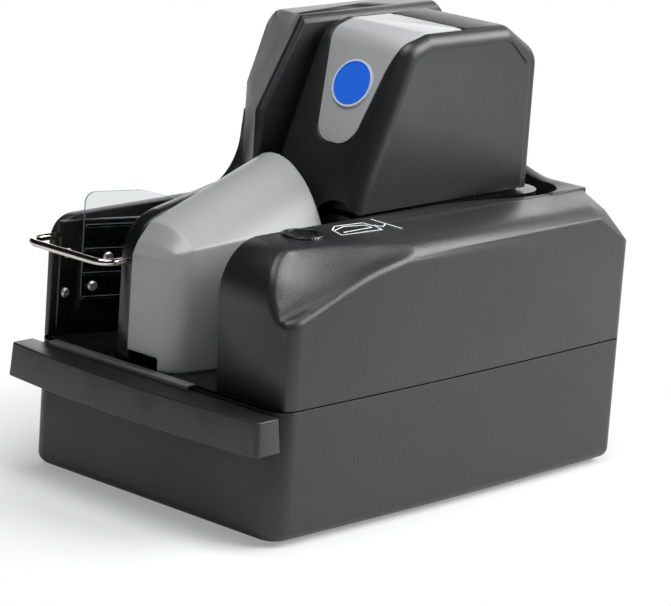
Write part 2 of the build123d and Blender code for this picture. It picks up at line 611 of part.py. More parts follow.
def right_cover():
    """Right-hand cover with its round nose, sunken shoulder and sloped rear corner."""
    top = COVER_TOP
    profile = rounded_polygon([
        (HOUSING_FRONT, DECK_TOP, 0), (HOUSING_FRONT - COVER_BULGE, top - NOSE_DROP, NOSE_RADIUS),
        (HOUSING_FRONT - BROW_SETBACK, top, BROW_RADIUS),
        (BASE_DEPTH - COVER_REAR_DRAFT, top, COVER_REAR_EDGE), (BASE_DEPTH, DECK_TOP, 0)])
    across = rounded_polygon([
        (COVER_INNER - 1, DECK_TOP, 0), (COVER_INNER - 1, top, 0),
        (HALF, top - COVER_FALL, COVER_EDGE), (HALF, DECK_TOP, 0)])
    body = side_prism(profile, COVER_INNER, HALF)
    body &= front_prism(across, -TRAY_REACH, BASE_DEPTH + 1)
    body &= plan_prism(bowed_outline(0), DECK_TOP, SKY)
    hollow = shoulder()
    cut = body - hollow
    body = fillet(new_edges(body, hollow, combined=cut), SHOULDER_EDGE)
    corner = (HALF, TOWER_REAR + REAR_SLOPE_START, top - REAR_SLOPE_DROP)
    return body - beyond(corner, REAR_SLOPE_NORMAL)


def left_wall():
    """Outer wall of the exit pocket, rising in a hollow curve to the far tower."""
    top = DECK_TOP + LEFT_WALL_HEIGHT
    crest = COVER_TOP + SWEEP_RISE
    rise = FAR_TOWER_FRONT + FAR_TOWER_SLANT * (FAR_TOWER_RIGHT + HALF)
    profile = rounded_polygon([
        (HOUSING_FRONT, DECK_TOP, 0), (HOUSING_FRONT, top, LEFT_WALL_NOSE),
        (rise - SWEEP_AHEAD, top, LEFT_WALL_SWEEP), (rise - BROW_SETBACK, crest, 0),
        (rise + SWEEP_OVERLAP, crest, 0), (rise + SWEEP_OVERLAP, DECK_TOP, 0)])
    return side_prism(profile, -HALF, LEFT_INNER)


def far_tower_section(left, front, slant, rear, height):
    """Plan of the far tower at one height."""
    plan = rounded_polygon([
        (FAR_TOWER_RIGHT, front, HOUSING_WALL), (left, front + slant, FAR_TOWER_CORNER),
        (left, rear, FAR_TOWER_REAR_CORNER), (FAR_TOWER_RIGHT, rear, 0)])
    return Pos(0, 0, height) * plan


def far_tower():
    """Left-hand tower: slanted front and rear that lean in, cap falling to the left."""
    slant = FAR_TOWER_SLANT * (FAR_TOWER_RIGHT + HALF)
    waist = COVER_TOP + FAR_TOWER_SHOULDER
    foot = far_tower_section(-HALF, FAR_TOWER_FRONT, slant, FAR_TOWER_REAR, DECK_TOP)
    middle = far_tower_section(-HALF, FAR_TOWER_FRONT, slant, FAR_TOWER_REAR, waist)
    head = far_tower_section(FAR_TOWER_NARROWS - HALF, FAR_TOWER_FRONT + FAR_TOWER_LEAN,
                             slant - FAR_TOWER_UNSLANT,
                             FAR_TOWER_REAR - FAR_TOWER_REAR_LEAN, FAR_TOWER_TOP + 2)
    tower = extrude(foot, waist - DECK_TOP) + loft([middle, head], ruled=True)
    cap = rounded_polygon([
        (-HALF, DECK_TOP, 0), (-HALF, FAR_TOWER_TOP - FAR_TOWER_FALL, FAR_TOWER_CAP),
        (FAR_TOWER_RIGHT, FAR_TOWER_TOP, FAR_TOWER_CAP_RIGHT), (FAR_TOWER_RIGHT, DECK_TOP, 0)])
    return tower & front_prism(cap, 0, BASE_DEPTH)


def rear_wall():
    """Housing behind the track's turn, with a fin that sweeps up to the far tower."""
    start = COVER_INNER + FIN_START
    wall = block(FAR_TOWER_RIGHT, TURN_RIGHT + HOUSING_WALL, TURN_REAR - TURN_RADIUS, BASE_DEPTH, DECK_TOP,
                 COVER_TOP)
    peak = (FAR_TOWER_RIGHT, COVER_TOP + FIN_RISE)
    middle = ((start + FAR_TOWER_RIGHT) / 2 - FIN_HOLLOW, COVER_TOP + FIN_RISE - FIN_SAG)
    sweep = make_face([
        Line((FAR_TOWER_RIGHT, COVER_TOP), (start, COVER_TOP)),
        ThreePointArc((start, COVER_TOP), middle, peak),
        Line(peak, (FAR_TOWER_RIGHT, COVER_TOP)),
    ])
    return wall + front_prism(sweep, TURN_REAR - 2, FAR_TOWER_REAR)


def housing_openings(body):
    """Cut a housing piece back from the track, the front well and the rollers in it."""
    body &= plan_prism(bowed_outline(0), DECK_TOP, SKY)
    body -= plan_prism(track_loop(), DECK_TOP - 1, SKY)
    body -= plan_prism(front_well(), DECK_TOP - 1, SKY)
    for (x, y), radius, shaft in (
            (PICK_PLACE, PICK_RADIUS, SHAFT_RADIUS),
            (ENTRY_PINCH_PLACE, PINCH_RADIUS, PINCH_SHAFT_RADIUS),
            (EXIT_PINCH_PLACE, PINCH_RADIUS, PINCH_SHAFT_RADIUS)):
        body -= post(x, y, radius + ROLLER_ROOM, ROLLER_BOTTOM - 1, ROLLER_TOP + 1)
        body -= post(x, y, shaft + FIT, DECK_TOP - 1, SHAFT_TOP + CLEARANCE)
    return body


def upper_housing():
    """Moulding round the right and rear of the track: cover, turn wall and fin."""
    body = housing_openings(right_cover() + rear_wall())
    # hollows under the button and beside the rear of the track
    inner = COVER_INNER + 2 * HOUSING_WALL
    outer = HALF - HOUSING_WALL - SIDE_BOW
    rear = PICK_PLACE[1] - PICK_RADIUS - 2 * HOUSING_WALL
    body -= block(inner, outer, HOLLOW_FRONT, rear, DECK_TOP - 1, COVER_TOP - SHOULDER_DEPTH)
    body -= block(inner, BUTTON_X + 1.5 * SWITCH_SIDE, HOLLOW_FRONT, rear, DECK_TOP - 1,
                  COVER_TOP - 2 * BUTTON_CAP)
    body -= block(TURN_RIGHT + HOUSING_WALL, outer, NIP_Y + ROLLER_COVER,
                  BASE_DEPTH - REAR_HOLLOW_END, DECK_TOP - 1, COVER_TOP - REAR_HOLLOW_DROP)
    # button well and bezel seat in the top
    body -= post(BUTTON_X, BUTTON_Y, BEZEL_RADIUS + FIT, COVER_TOP - BEZEL_DEPTH, SKY)
    body -= post(BUTTON_X, BUTTON_Y, BUTTON_RADIUS + 1, COVER_TOP - 2 * BUTTON_CAP - 1, SKY)
    body -= scan_seat(1)
    return body - magnet_seat()


def left_tower():
    """Moulding left of the track: the pocket's outer wall and the far tower."""
    rear = block(-HALF, FAR_TOWER_RIGHT, TURN_REAR - TURN_RADIUS, BASE_DEPTH, DECK_TOP, COVER_TOP)
    body = housing_openings(far_tower() + left_wall() + rear)
    throat = make_face(Polyline(
        (FAR_TOWER_RIGHT, FAR_TOWER_FRONT + THROAT_LENGTH - FAR_TOWER_LEAD),
        (FAR_TOWER_RIGHT - ISLAND_WALL_WIDTH - 2, FAR_TOWER_FRONT - 12),
        (FAR_TOWER_RIGHT + 1, FAR_TOWER_FRONT - 12),
        (FAR_TOWER_RIGHT + 1, FAR_TOWER_FRONT + THROAT_LENGTH - FAR_TOWER_LEAD), close=True))
    body -= plan_prism(throat, DECK_TOP - 1, COVER_TOP - THROAT_DROP)
    return body - wire_bore(WIRE_LEFT_X)


def wire_bore(x):
    """Blind hole for one leg of the wire stop."""
    length = WIRE_DEPTH + CLEARANCE
    bore = Cylinder(WIRE_DIAMETER / 2 + FIT, length + WIRE_REACH)
    return Pos(x, (length - WIRE_REACH) / 2, WIRE_Z) * Rot(90, 0, 0) * bore


def scan_face(side):
    """Track wall that a scan module sits in: 1 is the housing's, -1 the island's."""
    return COVER_INNER if side > 0 else ISLAND_FOOT_RIGHT


def scan_seat(side):
    """Pocket for a scan module."""
    face = scan_face(side)
    half = SCAN_WIDTH / 2 + FIT
    return block(face - side, face + side * (SCAN_DEPTH + FIT), SCAN_Y - half, SCAN_Y + half,
                 DECK_TOP - 1, SCAN_TOP + FIT)


def scan_module(side):
    """Contact image sensor: a bar with a groove for its glass, facing the track."""
    face = scan_face(side)
    near = face + side * CLEARANCE
    bar = block(near, face + side * SCAN_DEPTH, SCAN_Y - SCAN_WIDTH / 2, SCAN_Y + SCAN_WIDTH / 2,
                DECK_TOP, SCAN_TOP)
    return bar - block(near - side, near + side * GLASS_DEPTH, SCAN_Y - GLASS_WIDTH / 2,
                       SCAN_Y + GLASS_WIDTH / 2, DECK_TOP + GLASS_END, SCAN_TOP - GLASS_END)


def scan_glass():
    """Glass strips let into both scan modules."""
    half = GLASS_WIDTH / 2 - FIT
    solids = []
    for side in (-1, 1):
        near = scan_face(side) + side * CLEARANCE
        solids.append(block(near, near + side * GLASS_DEPTH, SCAN_Y - half, SCAN_Y + half,
                            DECK_TOP + GLASS_END + FIT, SCAN_TOP - GLASS_END - FIT))
    return solids


def magnet_seat():
    """Pocket in the housing for the magnetic read head."""
    half = MAGNET_WIDTH / 2 + FIT
    return block(COVER_INNER - 1, COVER_INNER + MAGNET_WIDTH + FIT, MAGNET_Y - half,
                 MAGNET_Y + half, DECK_TOP - 1, DECK_TOP + MAGNET_HEIGHT + FIT)


def magnetic_head():
    """Read head with a rounded nose just short of the document."""
    near = COVER_INNER + MAGNET_GAP
    far = COVER_INNER + MAGNET_WIDTH
    half = MAGNET_WIDTH / 2
    nose = rounded_polygon([
        (near, MAGNET_Y - half, 3), (far, MAGNET_Y - half, 0),
        (far, MAGNET_Y + half, 0), (near, MAGNET_Y + half, 3)])
    return plan_prism(nose, DECK_TOP, DECK_TOP + MAGNET_HEIGHT)


# ---- island between the two legs of the track ----
def island_core():
    """Chassis block inside the track, with a D-shaped rear ledge."""
    front = TOWER_FRONT + TRACK_GAP
    rear = TURN_REAR - LEDGE_BEHIND_TRACK
    flare = ISLAND_FOOT_RIGHT + TURN_FLARE - TRACK_GAP
    corner = TURN_RADIUS - TRACK_GAP
    plan = rounded_polygon([
        (ISLAND_LEFT, front, 3), (ISLAND_FOOT_RIGHT, front, 3),
        (ISLAND_FOOT_RIGHT, TURN_START, LEG_SWEEP), (flare, rear - 1.3 * TURN_RADIUS, 1.5 * TURN_RADIUS),
        (flare, rear, corner), (ISLAND_LEFT, rear, corner)])
    core = plan_prism(plan, DECK_TOP, COVER_TOP - 1)
    for x, y in (ENTRY_PLACE, EXIT_PLACE):
        core -= post(x, y, ROLLER_RADIUS + ROLLER_ROOM, ROLLER_BOTTOM - 1, ROLLER_TOP + 1)
        core -= post(x, y, SHAFT_RADIUS + FIT, DECK_TOP - 1, SHAFT_TOP + CLEARANCE)
    return core - scan_seat(-1)


def tower_profile(inset):
    """Side profile of the island tower, shrunk by inset."""
    bottom = TOWER_BOTTOM
    start = TOWER_FRONT + inset * math.hypot(1, TOWER_LEAN)
    top = TOWER_TOP - inset
    knee = start + TOWER_LEAN * (top - KNEE_DROP - bottom)
    rear = TOWER_REAR - inset
    return rounded_polygon([
        (start, bottom, 0), (knee, top - KNEE_DROP, KNEE_RADIUS - inset / 2),
        (knee + TOP_START, top, TOP_START_RADIUS),
        (TOWER_REAR - REAR_FALL_LENGTH, top - REAR_FALL_TOP, REAR_FALL_RADIUS),
        (rear, top - REAR_FALL_HEIGHT, REAR_FOOT_RADIUS), (rear, bottom, 0)])


def edges_at(shape, x):
    """Edges that lie in the upright plane at x, apart from those along the tower's foot."""
    def lies(edge):
        box = edge.bounding_box()
        flat = abs(box.min.X - x) < FIT and abs(box.max.X - x) < FIT
        return flat and edge.center().Z > TOWER_BOTTOM + FIT
    return shape.edges().filter_by(lies)


def tower_shell():
    """Tower's outer form: rounded edges, a band round the right-hand panel and a low arch."""
    tower = side_prism(tower_profile(0), ISLAND_LEFT, ISLAND_RIGHT)
    tower = fillet(edges_at(tower, ISLAND_RIGHT), TOWER_EDGE)
    tower = fillet(edges_at(tower, ISLAND_LEFT), TOWER_LEFT_EDGE)
    tower -= side_prism(tower_profile(PANEL_BAND), ISLAND_RIGHT - PANEL_DEPTH, ISLAND_RIGHT + 1)
    start = (ISLAND_RIGHT - 1, TOWER_BOTTOM)
    end = (ISLAND_RIGHT - ARCH_WIDTH, TOWER_BOTTOM)
    crown = (ISLAND_RIGHT - ARCH_WIDTH / 2, TOWER_BOTTOM + ARCH_HEIGHT)
    arch = make_face([ThreePointArc(start, crown, end), Line(end, start)])
    return tower - front_prism(arch, TOWER_FRONT - 1, TOWER_FRONT + ARCH_DEPTH)


def island_cover():
    """Tower over the island, with a recess for the door and a bay for the cartridge."""
    plug = block(ISLAND_LEFT + PLUG_HEIGHT, ISLAND_FOOT_RIGHT - PLUG_HEIGHT,
                 TOWER_FRONT + PLUG_FRONT, TOWER_REAR - PLUG_REAR, COVER_TOP - 1,
                 COVER_TOP + PLUG_HEIGHT)
    tower = tower_shell() + plug - cartridge_bay() - door_shape(DOOR_GAP)
    tower -= hinge_part(PIN_RADIUS + FIT, PIN_LENGTH + 2 * FIT)
    return tower - hinge_part(KNUCKLE_RADIUS + CLEARANCE, KNUCKLE_LENGTH + 2 * CLEARANCE)


def cartridge_bay():
    """Space for the cartridge and its holder, and the mouth that the door covers."""
    floor = COVER_TOP - PLUG_HEIGHT
    roof = TOWER_TOP - BAY_ROOF
    lean = make_face(Polyline((BAY_FRONT, floor), (BAY_REAR, floor), (BAY_REAR, roof),
                              (BAY_FRONT + BAY_LEAN, roof), (BAY_FRONT, DOOR_TIP_Z), close=True))
    bay = side_prism(lean, BAY_LEFT, BAY_RIGHT)
    mouth = front_prism(door_outline(-DOOR_RIM), TOWER_FRONT - 1, BAY_REAR)
    return bay + (mouth & block(BAY_LEFT, BAY_RIGHT, 0, BASE_DEPTH, 0, SKY))


def door_outline(gap):
    """Front view of the door: a tongue that widens towards the top."""
    tip = DOOR_TIP_Z - gap
    radius = DOOR_TIP_RADIUS + gap
    top = TOWER_TOP - DOOR_THICKNESS
    return rounded_polygon([
        (DOOR_TIP_X - DOOR_TIP_LEFT - gap, tip, radius),
        (DOOR_TIP_X + DOOR_TIP_RIGHT + gap, tip, radius),
        (DOOR_TIP_X + DOOR_KNEE + gap, DOOR_TIP_Z + DOOR_KNEE_RISE, DOOR_KNEE_RADIUS),
        (DOOR_RIGHT + gap, top, 0), (DOOR_RIGHT + gap, SKY, 0), (DOOR_LEFT - gap, SKY, 0),
        (DOOR_LEFT - gap, top, 0)])


def door_shape(gap):
    """Skin of the tower inside the door's outline; gap opens it up for the recess."""
    outer = tower_profile(-CLEARANCE if gap else 0)
    skin = side_prism(outer, ISLAND_LEFT, ISLAND_RIGHT)
    skin -= side_prism(tower_profile(DOOR_THICKNESS + gap), ISLAND_LEFT - 1, ISLAND_RIGHT + 1)
    rear = DOOR_REAR + gap if gap else HINGE_Y
    return skin & front_prism(door_outline(gap), TOWER_FRONT - 1, rear)


def hinge_part(radius, length):
    """Cylinder on the hinge's axis."""
    return Pos(DOOR_CENTRE_X, HINGE_Y, HINGE_Z) * Rot(0, 90, 0) * Cylinder(radius, length)


def access_door():
    """Bent plate whose rear edge rolls into the hinge knuckle."""
    door = door_shape(0) + hinge_part(KNUCKLE_RADIUS, KNUCKLE_LENGTH)
    return door - hinge_part(PIN_RADIUS + FIT, PIN_LENGTH)


def door_hinge_pin():
    """Steel pin through the door's knuckle, held in the tower at both ends."""
    return hinge_part(PIN_RADIUS, PIN_LENGTH)


def door_badge():
    """Plain round badge with a raised rim, on the door's leaning face."""
    z = DOOR_TIP_Z + BADGE_RISE
    y = TOWER_FRONT + TOWER_LEAN * (z - TOWER_BOTTOM)
    face = Plane(origin=(DOOR_TIP_X - 1, y, z), x_dir=(1, 0, 0), z_dir=(0, -1, TOWER_LEAN))
    badge = Pos(0, 0, BADGE_HEIGHT / 2) * Cylinder(BADGE_RADIUS, BADGE_HEIGHT)
    rim = Cylinder(BADGE_RADIUS, BADGE_RIM_HEIGHT) - Cylinder(BADGE_RADIUS - BADGE_RIM,
                                                              BADGE_RIM_HEIGHT)
    return face * (badge + Pos(0, 0, BADGE_HEIGHT + BADGE_RIM_HEIGHT / 2) * rim)


def cartridge_holder():
    """Cradle that stands on the island core."""
    wall = HOLDER_WALL
    base = COVER_TOP - 1
    cradle = block(BAY_LEFT + 1, BAY_RIGHT - 1, BAY_FRONT + 4 * wall, BAY_REAR - 1, base,
                   base + HOLDER_HEIGHT)
    return cradle - block(BAY_LEFT + 1 + wall, BAY_RIGHT - 1 - wall, BAY_FRONT + 5 * wall,
                          BAY_REAR - 1 - wall, base + wall, SKY)


def ink_cartridge():
    """Cartridge with a stepped nose towards the document."""
    bottom = COVER_TOP - 1 + HOLDER_WALL
    top = bottom + CARTRIDGE_HEIGHT
    front = BAY_FRONT + 5 * HOLDER_WALL + CLEARANCE
    rear = BAY_REAR - CARTRIDGE_GAP
    shape = rounded_polygon([
        (front, bottom, 2), (rear, bottom, 2), (rear, top, 4), (front + 16, top, 6),
        (front, bottom + 0.4 * CARTRIDGE_HEIGHT, 8)])
    return side_prism(shape, BAY_LEFT + CARTRIDGE_GAP, BAY_RIGHT - CARTRIDGE_GAP)


# ---- hopper guide ----
# crest of the hood at four places: distance behind the guide's front, then points along the
# curve as shares of the guide's width (from the island wall) and height (above the deck)
HOOD_STATIONS = (
    (-3.0, ((-0.03, 0.5), (0.44, 0.519), (0.75, 0.509), (1.0, 0.481), (1.375, 0.406))),
    (3.5, ((-0.03, 0.627), (0.44, 0.632), (0.75, 0.623), (1.0, 0.59), (1.375, 0.5))),
    (12.0, ((-0.03, 0.717), (0.44, 0.717), (0.81, 0.684), (1.09, 0.627), (1.375, 0.547))),
    (GUIDE_REAR - GUIDE_FRONT,
     ((-0.03, 0.976), (0.41, 1.0), (1.0, 0.906), (1.5, 0.684), (1.69, 0.528))),
)


def guide_plan(inset):
    """Plan of the guide's outer face, closed along the island wall."""
    front = GUIDE_FRONT + inset
    return rounded_polygon([
        (ISLAND_LEFT, front, 0), (GUIDE_RIGHT - inset, front, GUIDE_CORNER - inset),
        (GUIDE_RIGHT + GUIDE_FLARE - inset, GUIDE_REAR, 0), (ISLAND_LEFT, GUIDE_REAR, 0)])


def hood_section(station, crest, inset):
    """Upright section under the hood's crest, carried down below the deck."""
    y = GUIDE_FRONT + station
    foot = DECK_TOP - DECK_THICKNESS
    curve = [Vector(ISLAND_LEFT + x * GUIDE_WIDTH, y, DECK_TOP + z * GUIDE_HEIGHT - inset)
             for x, z in crest]
    right = Vector(curve[-1].X, y, foot)
    left = Vector(curve[0].X, y, foot)
    return make_face([Spline(*curve), Line(curve[-1], right), Line(right, left),
                      Line(left, curve[0])])


def guide_solid(inset):
    """Solid filled by the guide; the inset one is subtracted to leave the sheet."""
    walls = plan_prism(guide_plan(inset), DECK_TOP - inset / 2, SKY)
    hood = loft([hood_section(y, crest, inset) for y, crest in HOOD_STATIONS], ruled=True)
    return walls & hood


def hopper_guide():
    """Grey hopper guide: a bent sheet with a hood that grows towards the tower."""
    sheet = guide_solid(0) - guide_solid(GUIDE_THICKNESS)
    return sheet - block(ISLAND_LEFT - 1, GUIDE_RIGHT - 10, GUIDE_FRONT - 1, FRONT_CORNER,
                         DECK_TOP - 1, DECK_TOP + GUIDE_FOOT_STEP)


# ---- exit pocket ----
def island_wall():
    """Black wall between the pocket and the guide, its top rising to the tower."""
    top = DECK_TOP + ISLAND_WALL_HEIGHT
    front = HOUSING_FRONT - 1
    rear = TOWER_FRONT - 1
    profile = rounded_polygon([
        (front, DECK_TOP, 0), (front, top - ISLAND_WALL_NOSE_DROP, ISLAND_WALL_NOSE),
        (front + ISLAND_WALL_BEND, top - 1, ISLAND_WALL_BEND),
        (rear, top + ISLAND_WALL_RISE, 0), (rear, DECK_TOP, 0)])
    wall = side_prism(profile, WALL_LEFT, ISLAND_LEFT)
    thin = FAR_TOWER_RIGHT + CLEARANCE
    way_out = make_face(Polyline(
        (WALL_LEFT - 1, TOWER_FRONT - 24), (thin, FAR_TOWER_FRONT - 2), (thin, TOWER_FRONT),
        (WALL_LEFT - 1, TOWER_FRONT), close=True))
    return wall - plan_prism(way_out, DECK_TOP - 1, SKY) - wire_bore(WIRE_RIGHT_X)


def pocket_liner():
    """Black liner down the pocket's left side: straight, then slanted behind the clear plate."""
    x, y = PLATE_START
    slope = math.tan(PLATE_TURN)
    depth = LINER_THICKNESS / math.cos(PLATE_TURN)
    straight = LEFT_INNER + LINER_THICKNESS
    tower_y = FAR_TOWER_FRONT + FAR_TOWER_SLANT * FAR_TOWER_RIGHT - CLEARANCE
    end_y = (tower_y - FAR_TOWER_SLANT * (x - y * slope)) / (1 + FAR_TOWER_SLANT * slope)
    end_x = x + (end_y - y) * slope
    front = HOUSING_FRONT + LINER_THICKNESS
    plan = make_face(Polyline(
        (LEFT_INNER, front), (straight, front), (straight, y + (straight - x) / slope),
        (end_x, end_y), (end_x - depth, end_y),
        (LEFT_INNER, y + (LEFT_INNER + depth - x) / slope), close=True))
    liner = plan_prism(plan, DECK_TOP, DECK_TOP + LEFT_WALL_HEIGHT - LINER_DROP)
    for along, up in PLATE_SCREWS:
        hole = Cylinder(SCREW_SHANK_RADIUS, 2 * LINER_THICKNESS + 2)
        liner -= plate_frame() * Pos(along, up, -1) * hole
    return liner


def plate_frame():
    """Plane on the liner's slanted face: x runs back along it, y up, z into the pocket."""
    x, y = PLATE_START
    back = (math.sin(PLATE_TURN), math.cos(PLATE_TURN), 0)
    into = (math.cos(PLATE_TURN), -math.sin(PLATE_TURN), 0)
    return Plane(origin=(x, y, DECK_TOP + PLATE_RISE), x_dir=back, z_dir=into)


def pocket_plate():
    """Clear plate on the liner with fine raised ribs and a sloping top rear corner."""
    lower, rear, crest, front = PLATE_CORNERS
    outline = rounded_polygon([
        (0, 0, lower), (PLATE_LENGTH, 0, lower), (PLATE_LENGTH, PLATE_HEIGHT - PLATE_SLOPE, rear),
        (PLATE_LENGTH * PLATE_CREST, PLATE_HEIGHT, crest), (0, PLATE_HEIGHT, front)])
    plate = extrude(outline, PLATE_THICKNESS)
    for i in range(PLATE_RIB_COUNT):
        place_on_plate = Pos(PLATE_LENGTH / 2, 1.0 + i * PLATE_RIB_PITCH,
                             PLATE_THICKNESS + PLATE_RIB_HEIGHT / 2)
        plate += place_on_plate * Box(PLATE_LENGTH - 2, PLATE_RIB_WIDTH, PLATE_RIB_HEIGHT)
    for along, up in PLATE_SCREWS:
        plate -= Pos(along, up, 0) * Cylinder(SCREW_SHANK_RADIUS + CLEARANCE, 10)
    return plate_frame() * Pos(0, 0, CLEARANCE / 3) * plate


def pocket_screws():
    """Screws with chamfered heads: two through the clear plate and two on the straight liner."""
    solids = []
    head = Pos(0, 0, SCREW_SHANK_RADIUS / 2) * Cylinder(SCREW_HEAD_RADIUS * 0.8,
                                                        SCREW_SHANK_RADIUS)
    head = chamfer(head.edges().group_by(Axis.Z)[-1], SCREW_SHANK_RADIUS / 2)
    head -= Pos(0, 0, 1.0) * extrude(RegularPolygon(1.2, 6), 1.0)
    shank = Pos(0, 0, -2.5) * Cylinder(SCREW_SHANK_RADIUS - FIT, 5)
    for along, up in PLATE_SCREWS:
        seat = CLEARANCE / 3 + PLATE_THICKNESS
        solids.append(plate_frame() * Pos(along, up, seat) * (head + shank))
    for y, z in WALL_SCREWS:
        wall = Plane(origin=(LEFT_INNER + LINER_THICKNESS, y, DECK_TOP + z), x_dir=(0, 1, 0),
                     z_dir=(1, 0, 0))
        solids.append(wall * head)
    return solids


def wire_stop():
    """Chrome wire bent into a U; its legs slide in the pocket's two walls."""
    front = -WIRE_REACH
    path = FilletPolyline(
        (WIRE_LEFT_X, WIRE_DEPTH, WIRE_Z), (WIRE_LEFT_X, front, WIRE_Z),
        (WIRE_RIGHT_X, front, WIRE_Z), (WIRE_RIGHT_X, WIRE_DEPTH, WIRE_Z), radius=WIRE_BEND)
    section = Plane(origin=path @ 0, z_dir=path % 0) * Circle(WIRE_DIAMETER / 2)
    return sweep(section, path)


# ---- hopper flag ----
def flag_frame():
    """Frame at the flag's pivot: y runs back along the guide's right wall."""
    lean = math.atan2(GUIDE_FLARE, GUIDE_REAR - GUIDE_FRONT)
    x = GUIDE_RIGHT + math.tan(lean) * (FLAG_PIVOT_Y - GUIDE_FRONT)
    turn = Rot(0, 0, -math.degrees(lean))
    return Pos(x, FLAG_PIVOT_Y, DECK_TOP) * turn * Pos(FLAG_SLEEVE + CLEARANCE, 0, 0)


def hopper_flag():
    """Pusher flag that presses the documents towards the pick roller."""
    top = FLAG_RISE + FLAG_HEIGHT
    leaf_face = 0.75 * FLAG_SLEEVE
    flag = post(0, 0, FLAG_SLEEVE, FLAG_RISE, top)
    flag += block(-FLAG_SLEEVE, leaf_face - FLAG_SLEEVE, 0, FLAG_LENGTH, FLAG_RISE, top)
    flag += block(-FLAG_SLEEVE, 1.0, FLAG_LENGTH - FLAG_PAD_LENGTH, FLAG_LENGTH, FLAG_RISE, top)
    return flag_frame() * (flag - post(0, 0, FLAG_PIN_RADIUS + FIT, 0, top + 1))


def flag_pin():
    """Pin standing on the deck that the flag turns on."""
    return flag_frame() * post(0, 0, FLAG_PIN_RADIUS, 0, FLAG_RISE + FLAG_HEIGHT + 2)


# ---- power button ----
def button_bezel():
    """Raised ring let into the cover."""
    top = COVER_TOP + BEZEL_PROUD
    ring = post(BUTTON_X, BUTTON_Y, BEZEL_RADIUS, COVER_TOP - BEZEL_DEPTH, top)
    ring = chamfer(ring.edges().group_by(Axis.Z)[-1], BEZEL_PROUD / 2)
    return ring - post(BUTTON_X, BUTTON_Y, BUTTON_RADIUS + FIT, COVER_TOP - BEZEL_DEPTH - 1, SKY)


def power_button():
    """Dished round button on a stem, with a flange under the bezel."""
    flange_top = COVER_TOP - BEZEL_DEPTH - FIT
    bottom = COVER_TOP - BUTTON_CAP
    bowl = (BUTTON_RADIUS ** 2 + BUTTON_DISH ** 2) / (2 * BUTTON_DISH)
    cap = post(BUTTON_X, BUTTON_Y, BUTTON_RADIUS, bottom, COVER_TOP)
    cap -= Pos(BUTTON_X, BUTTON_Y, COVER_TOP - BUTTON_DISH + bowl) * Sphere(bowl)
    cap += post(BUTTON_X, BUTTON_Y, BUTTON_RADIUS + BUTTON_FLANGE, bottom, flange_top)
    return cap + post(BUTTON_X, BUTTON_Y, STEM_RADIUS, bottom - STEM_LENGTH, bottom)


def button_switch():
    """Tactile switch on a small board under the button, on a post from the deck."""
    x, y = BUTTON_X, BUTTON_Y
    half = SWITCH_SIDE / 2
    top = COVER_TOP - BUTTON_CAP - STEM_LENGTH - BUTTON_STROKE - CLEARANCE
    board_top = top - SWITCH_HEIGHT
    board_bottom = board_top - BOARD_THICKNESS
    left = x - STEM_RADIUS - 1
    switch = block(left, left + SWITCH_SIDE, y - half, y + half, board_top, top)
    switch += block(left, left + 1.5 * SWITCH_SIDE, y - 1.5 * half, y + 1.5 * half, board_bottom,
                    board_top)
    return switch + block(left + 1, left + SWITCH_SIDE - 1, y - half + 1, y + half - 1, DECK_TOP,
                          board_bottom)


# ---- rollers and drive ----
def roller_shaft(place_at, bottom, radius, hub_radius):
    """Shaft with a hub between the housing's bores."""
    x, y = place_at
    return post(x, y, radius, bottom, SHAFT_TOP) + post(x, y, hub_radius, ROLLER_BOTTOM, ROLLER_TOP)


def tyres(place_at, radius):
    """Rubber tyres pressed on a roller's hub."""
    x, y = place_at
    pitch = (ROLLER_TOP - ROLLER_BOTTOM - TYRE_HEIGHT) / (TYRE_COUNT - 1)
    solids = []
    for i in range(TYRE_COUNT):
        z = ROLLER_BOTTOM + i * pitch
        tyre = post(x, y, radius, z, z + TYRE_HEIGHT)
        solids.append(tyre - post(x, y, radius - HUB_DEPTH, z - 1, z + TYRE_HEIGHT + 1))
    return solids


def pulley(place_at, z):
    """Flanged belt pulley centred on height z."""
    x, y = place_at
    half = BELT_WIDTH / 2 + CLEARANCE
    flange = PULLEY_RADIUS + FLANGE_HEIGHT
    rim = post(x, y, PULLEY_RADIUS, z - half, z + half)
    rim += post(x, y, flange, z - half - 1, z - half)
    return rim + post(x, y, flange, z + half, z + half + 1)


def entry_roller():
    """Drive roller on the right leg of the track, with its pulley."""
    shaft = roller_shaft(ENTRY_PLACE, BELT_LOW - BELT_WIDTH, SHAFT_RADIUS, ROLLER_RADIUS - HUB_DEPTH)
    return shaft + pulley(ENTRY_PLACE, BELT_LOW)


def exit_roller():
    """Drive roller on the left leg, with a pulley for each belt."""
    shaft = roller_shaft(EXIT_PLACE, BELT_LOW - BELT_WIDTH, SHAFT_RADIUS, ROLLER_RADIUS - HUB_DEPTH)
    return shaft + pulley(EXIT_PLACE, BELT_LOW) + pulley(EXIT_PLACE, BELT_HIGH)


def pick_roller():
    """Roller that draws each document from the hopper, standing in its motor."""
    bottom = PICK_MOTOR_TOP - BEARING_LENGTH
    return roller_shaft(PICK_PLACE, bottom, SHAFT_RADIUS, PICK_RADIUS - HUB_DEPTH)


def pinch_roller(place_at):
    """Idle roller that holds documents against a drive roller."""
    return roller_shaft(place_at, DECK_TOP, PINCH_SHAFT_RADIUS, PINCH_RADIUS)


def track_pulley():
    """Motor shaft with its pulley."""
    x, y = MOTOR_PLACE
    shaft = post(x, y, SHAFT_RADIUS, MOTOR_TOP - SHAFT_IN_MOTOR, BELT_HIGH)
    return shaft + pulley(MOTOR_PLACE, BELT_HIGH)


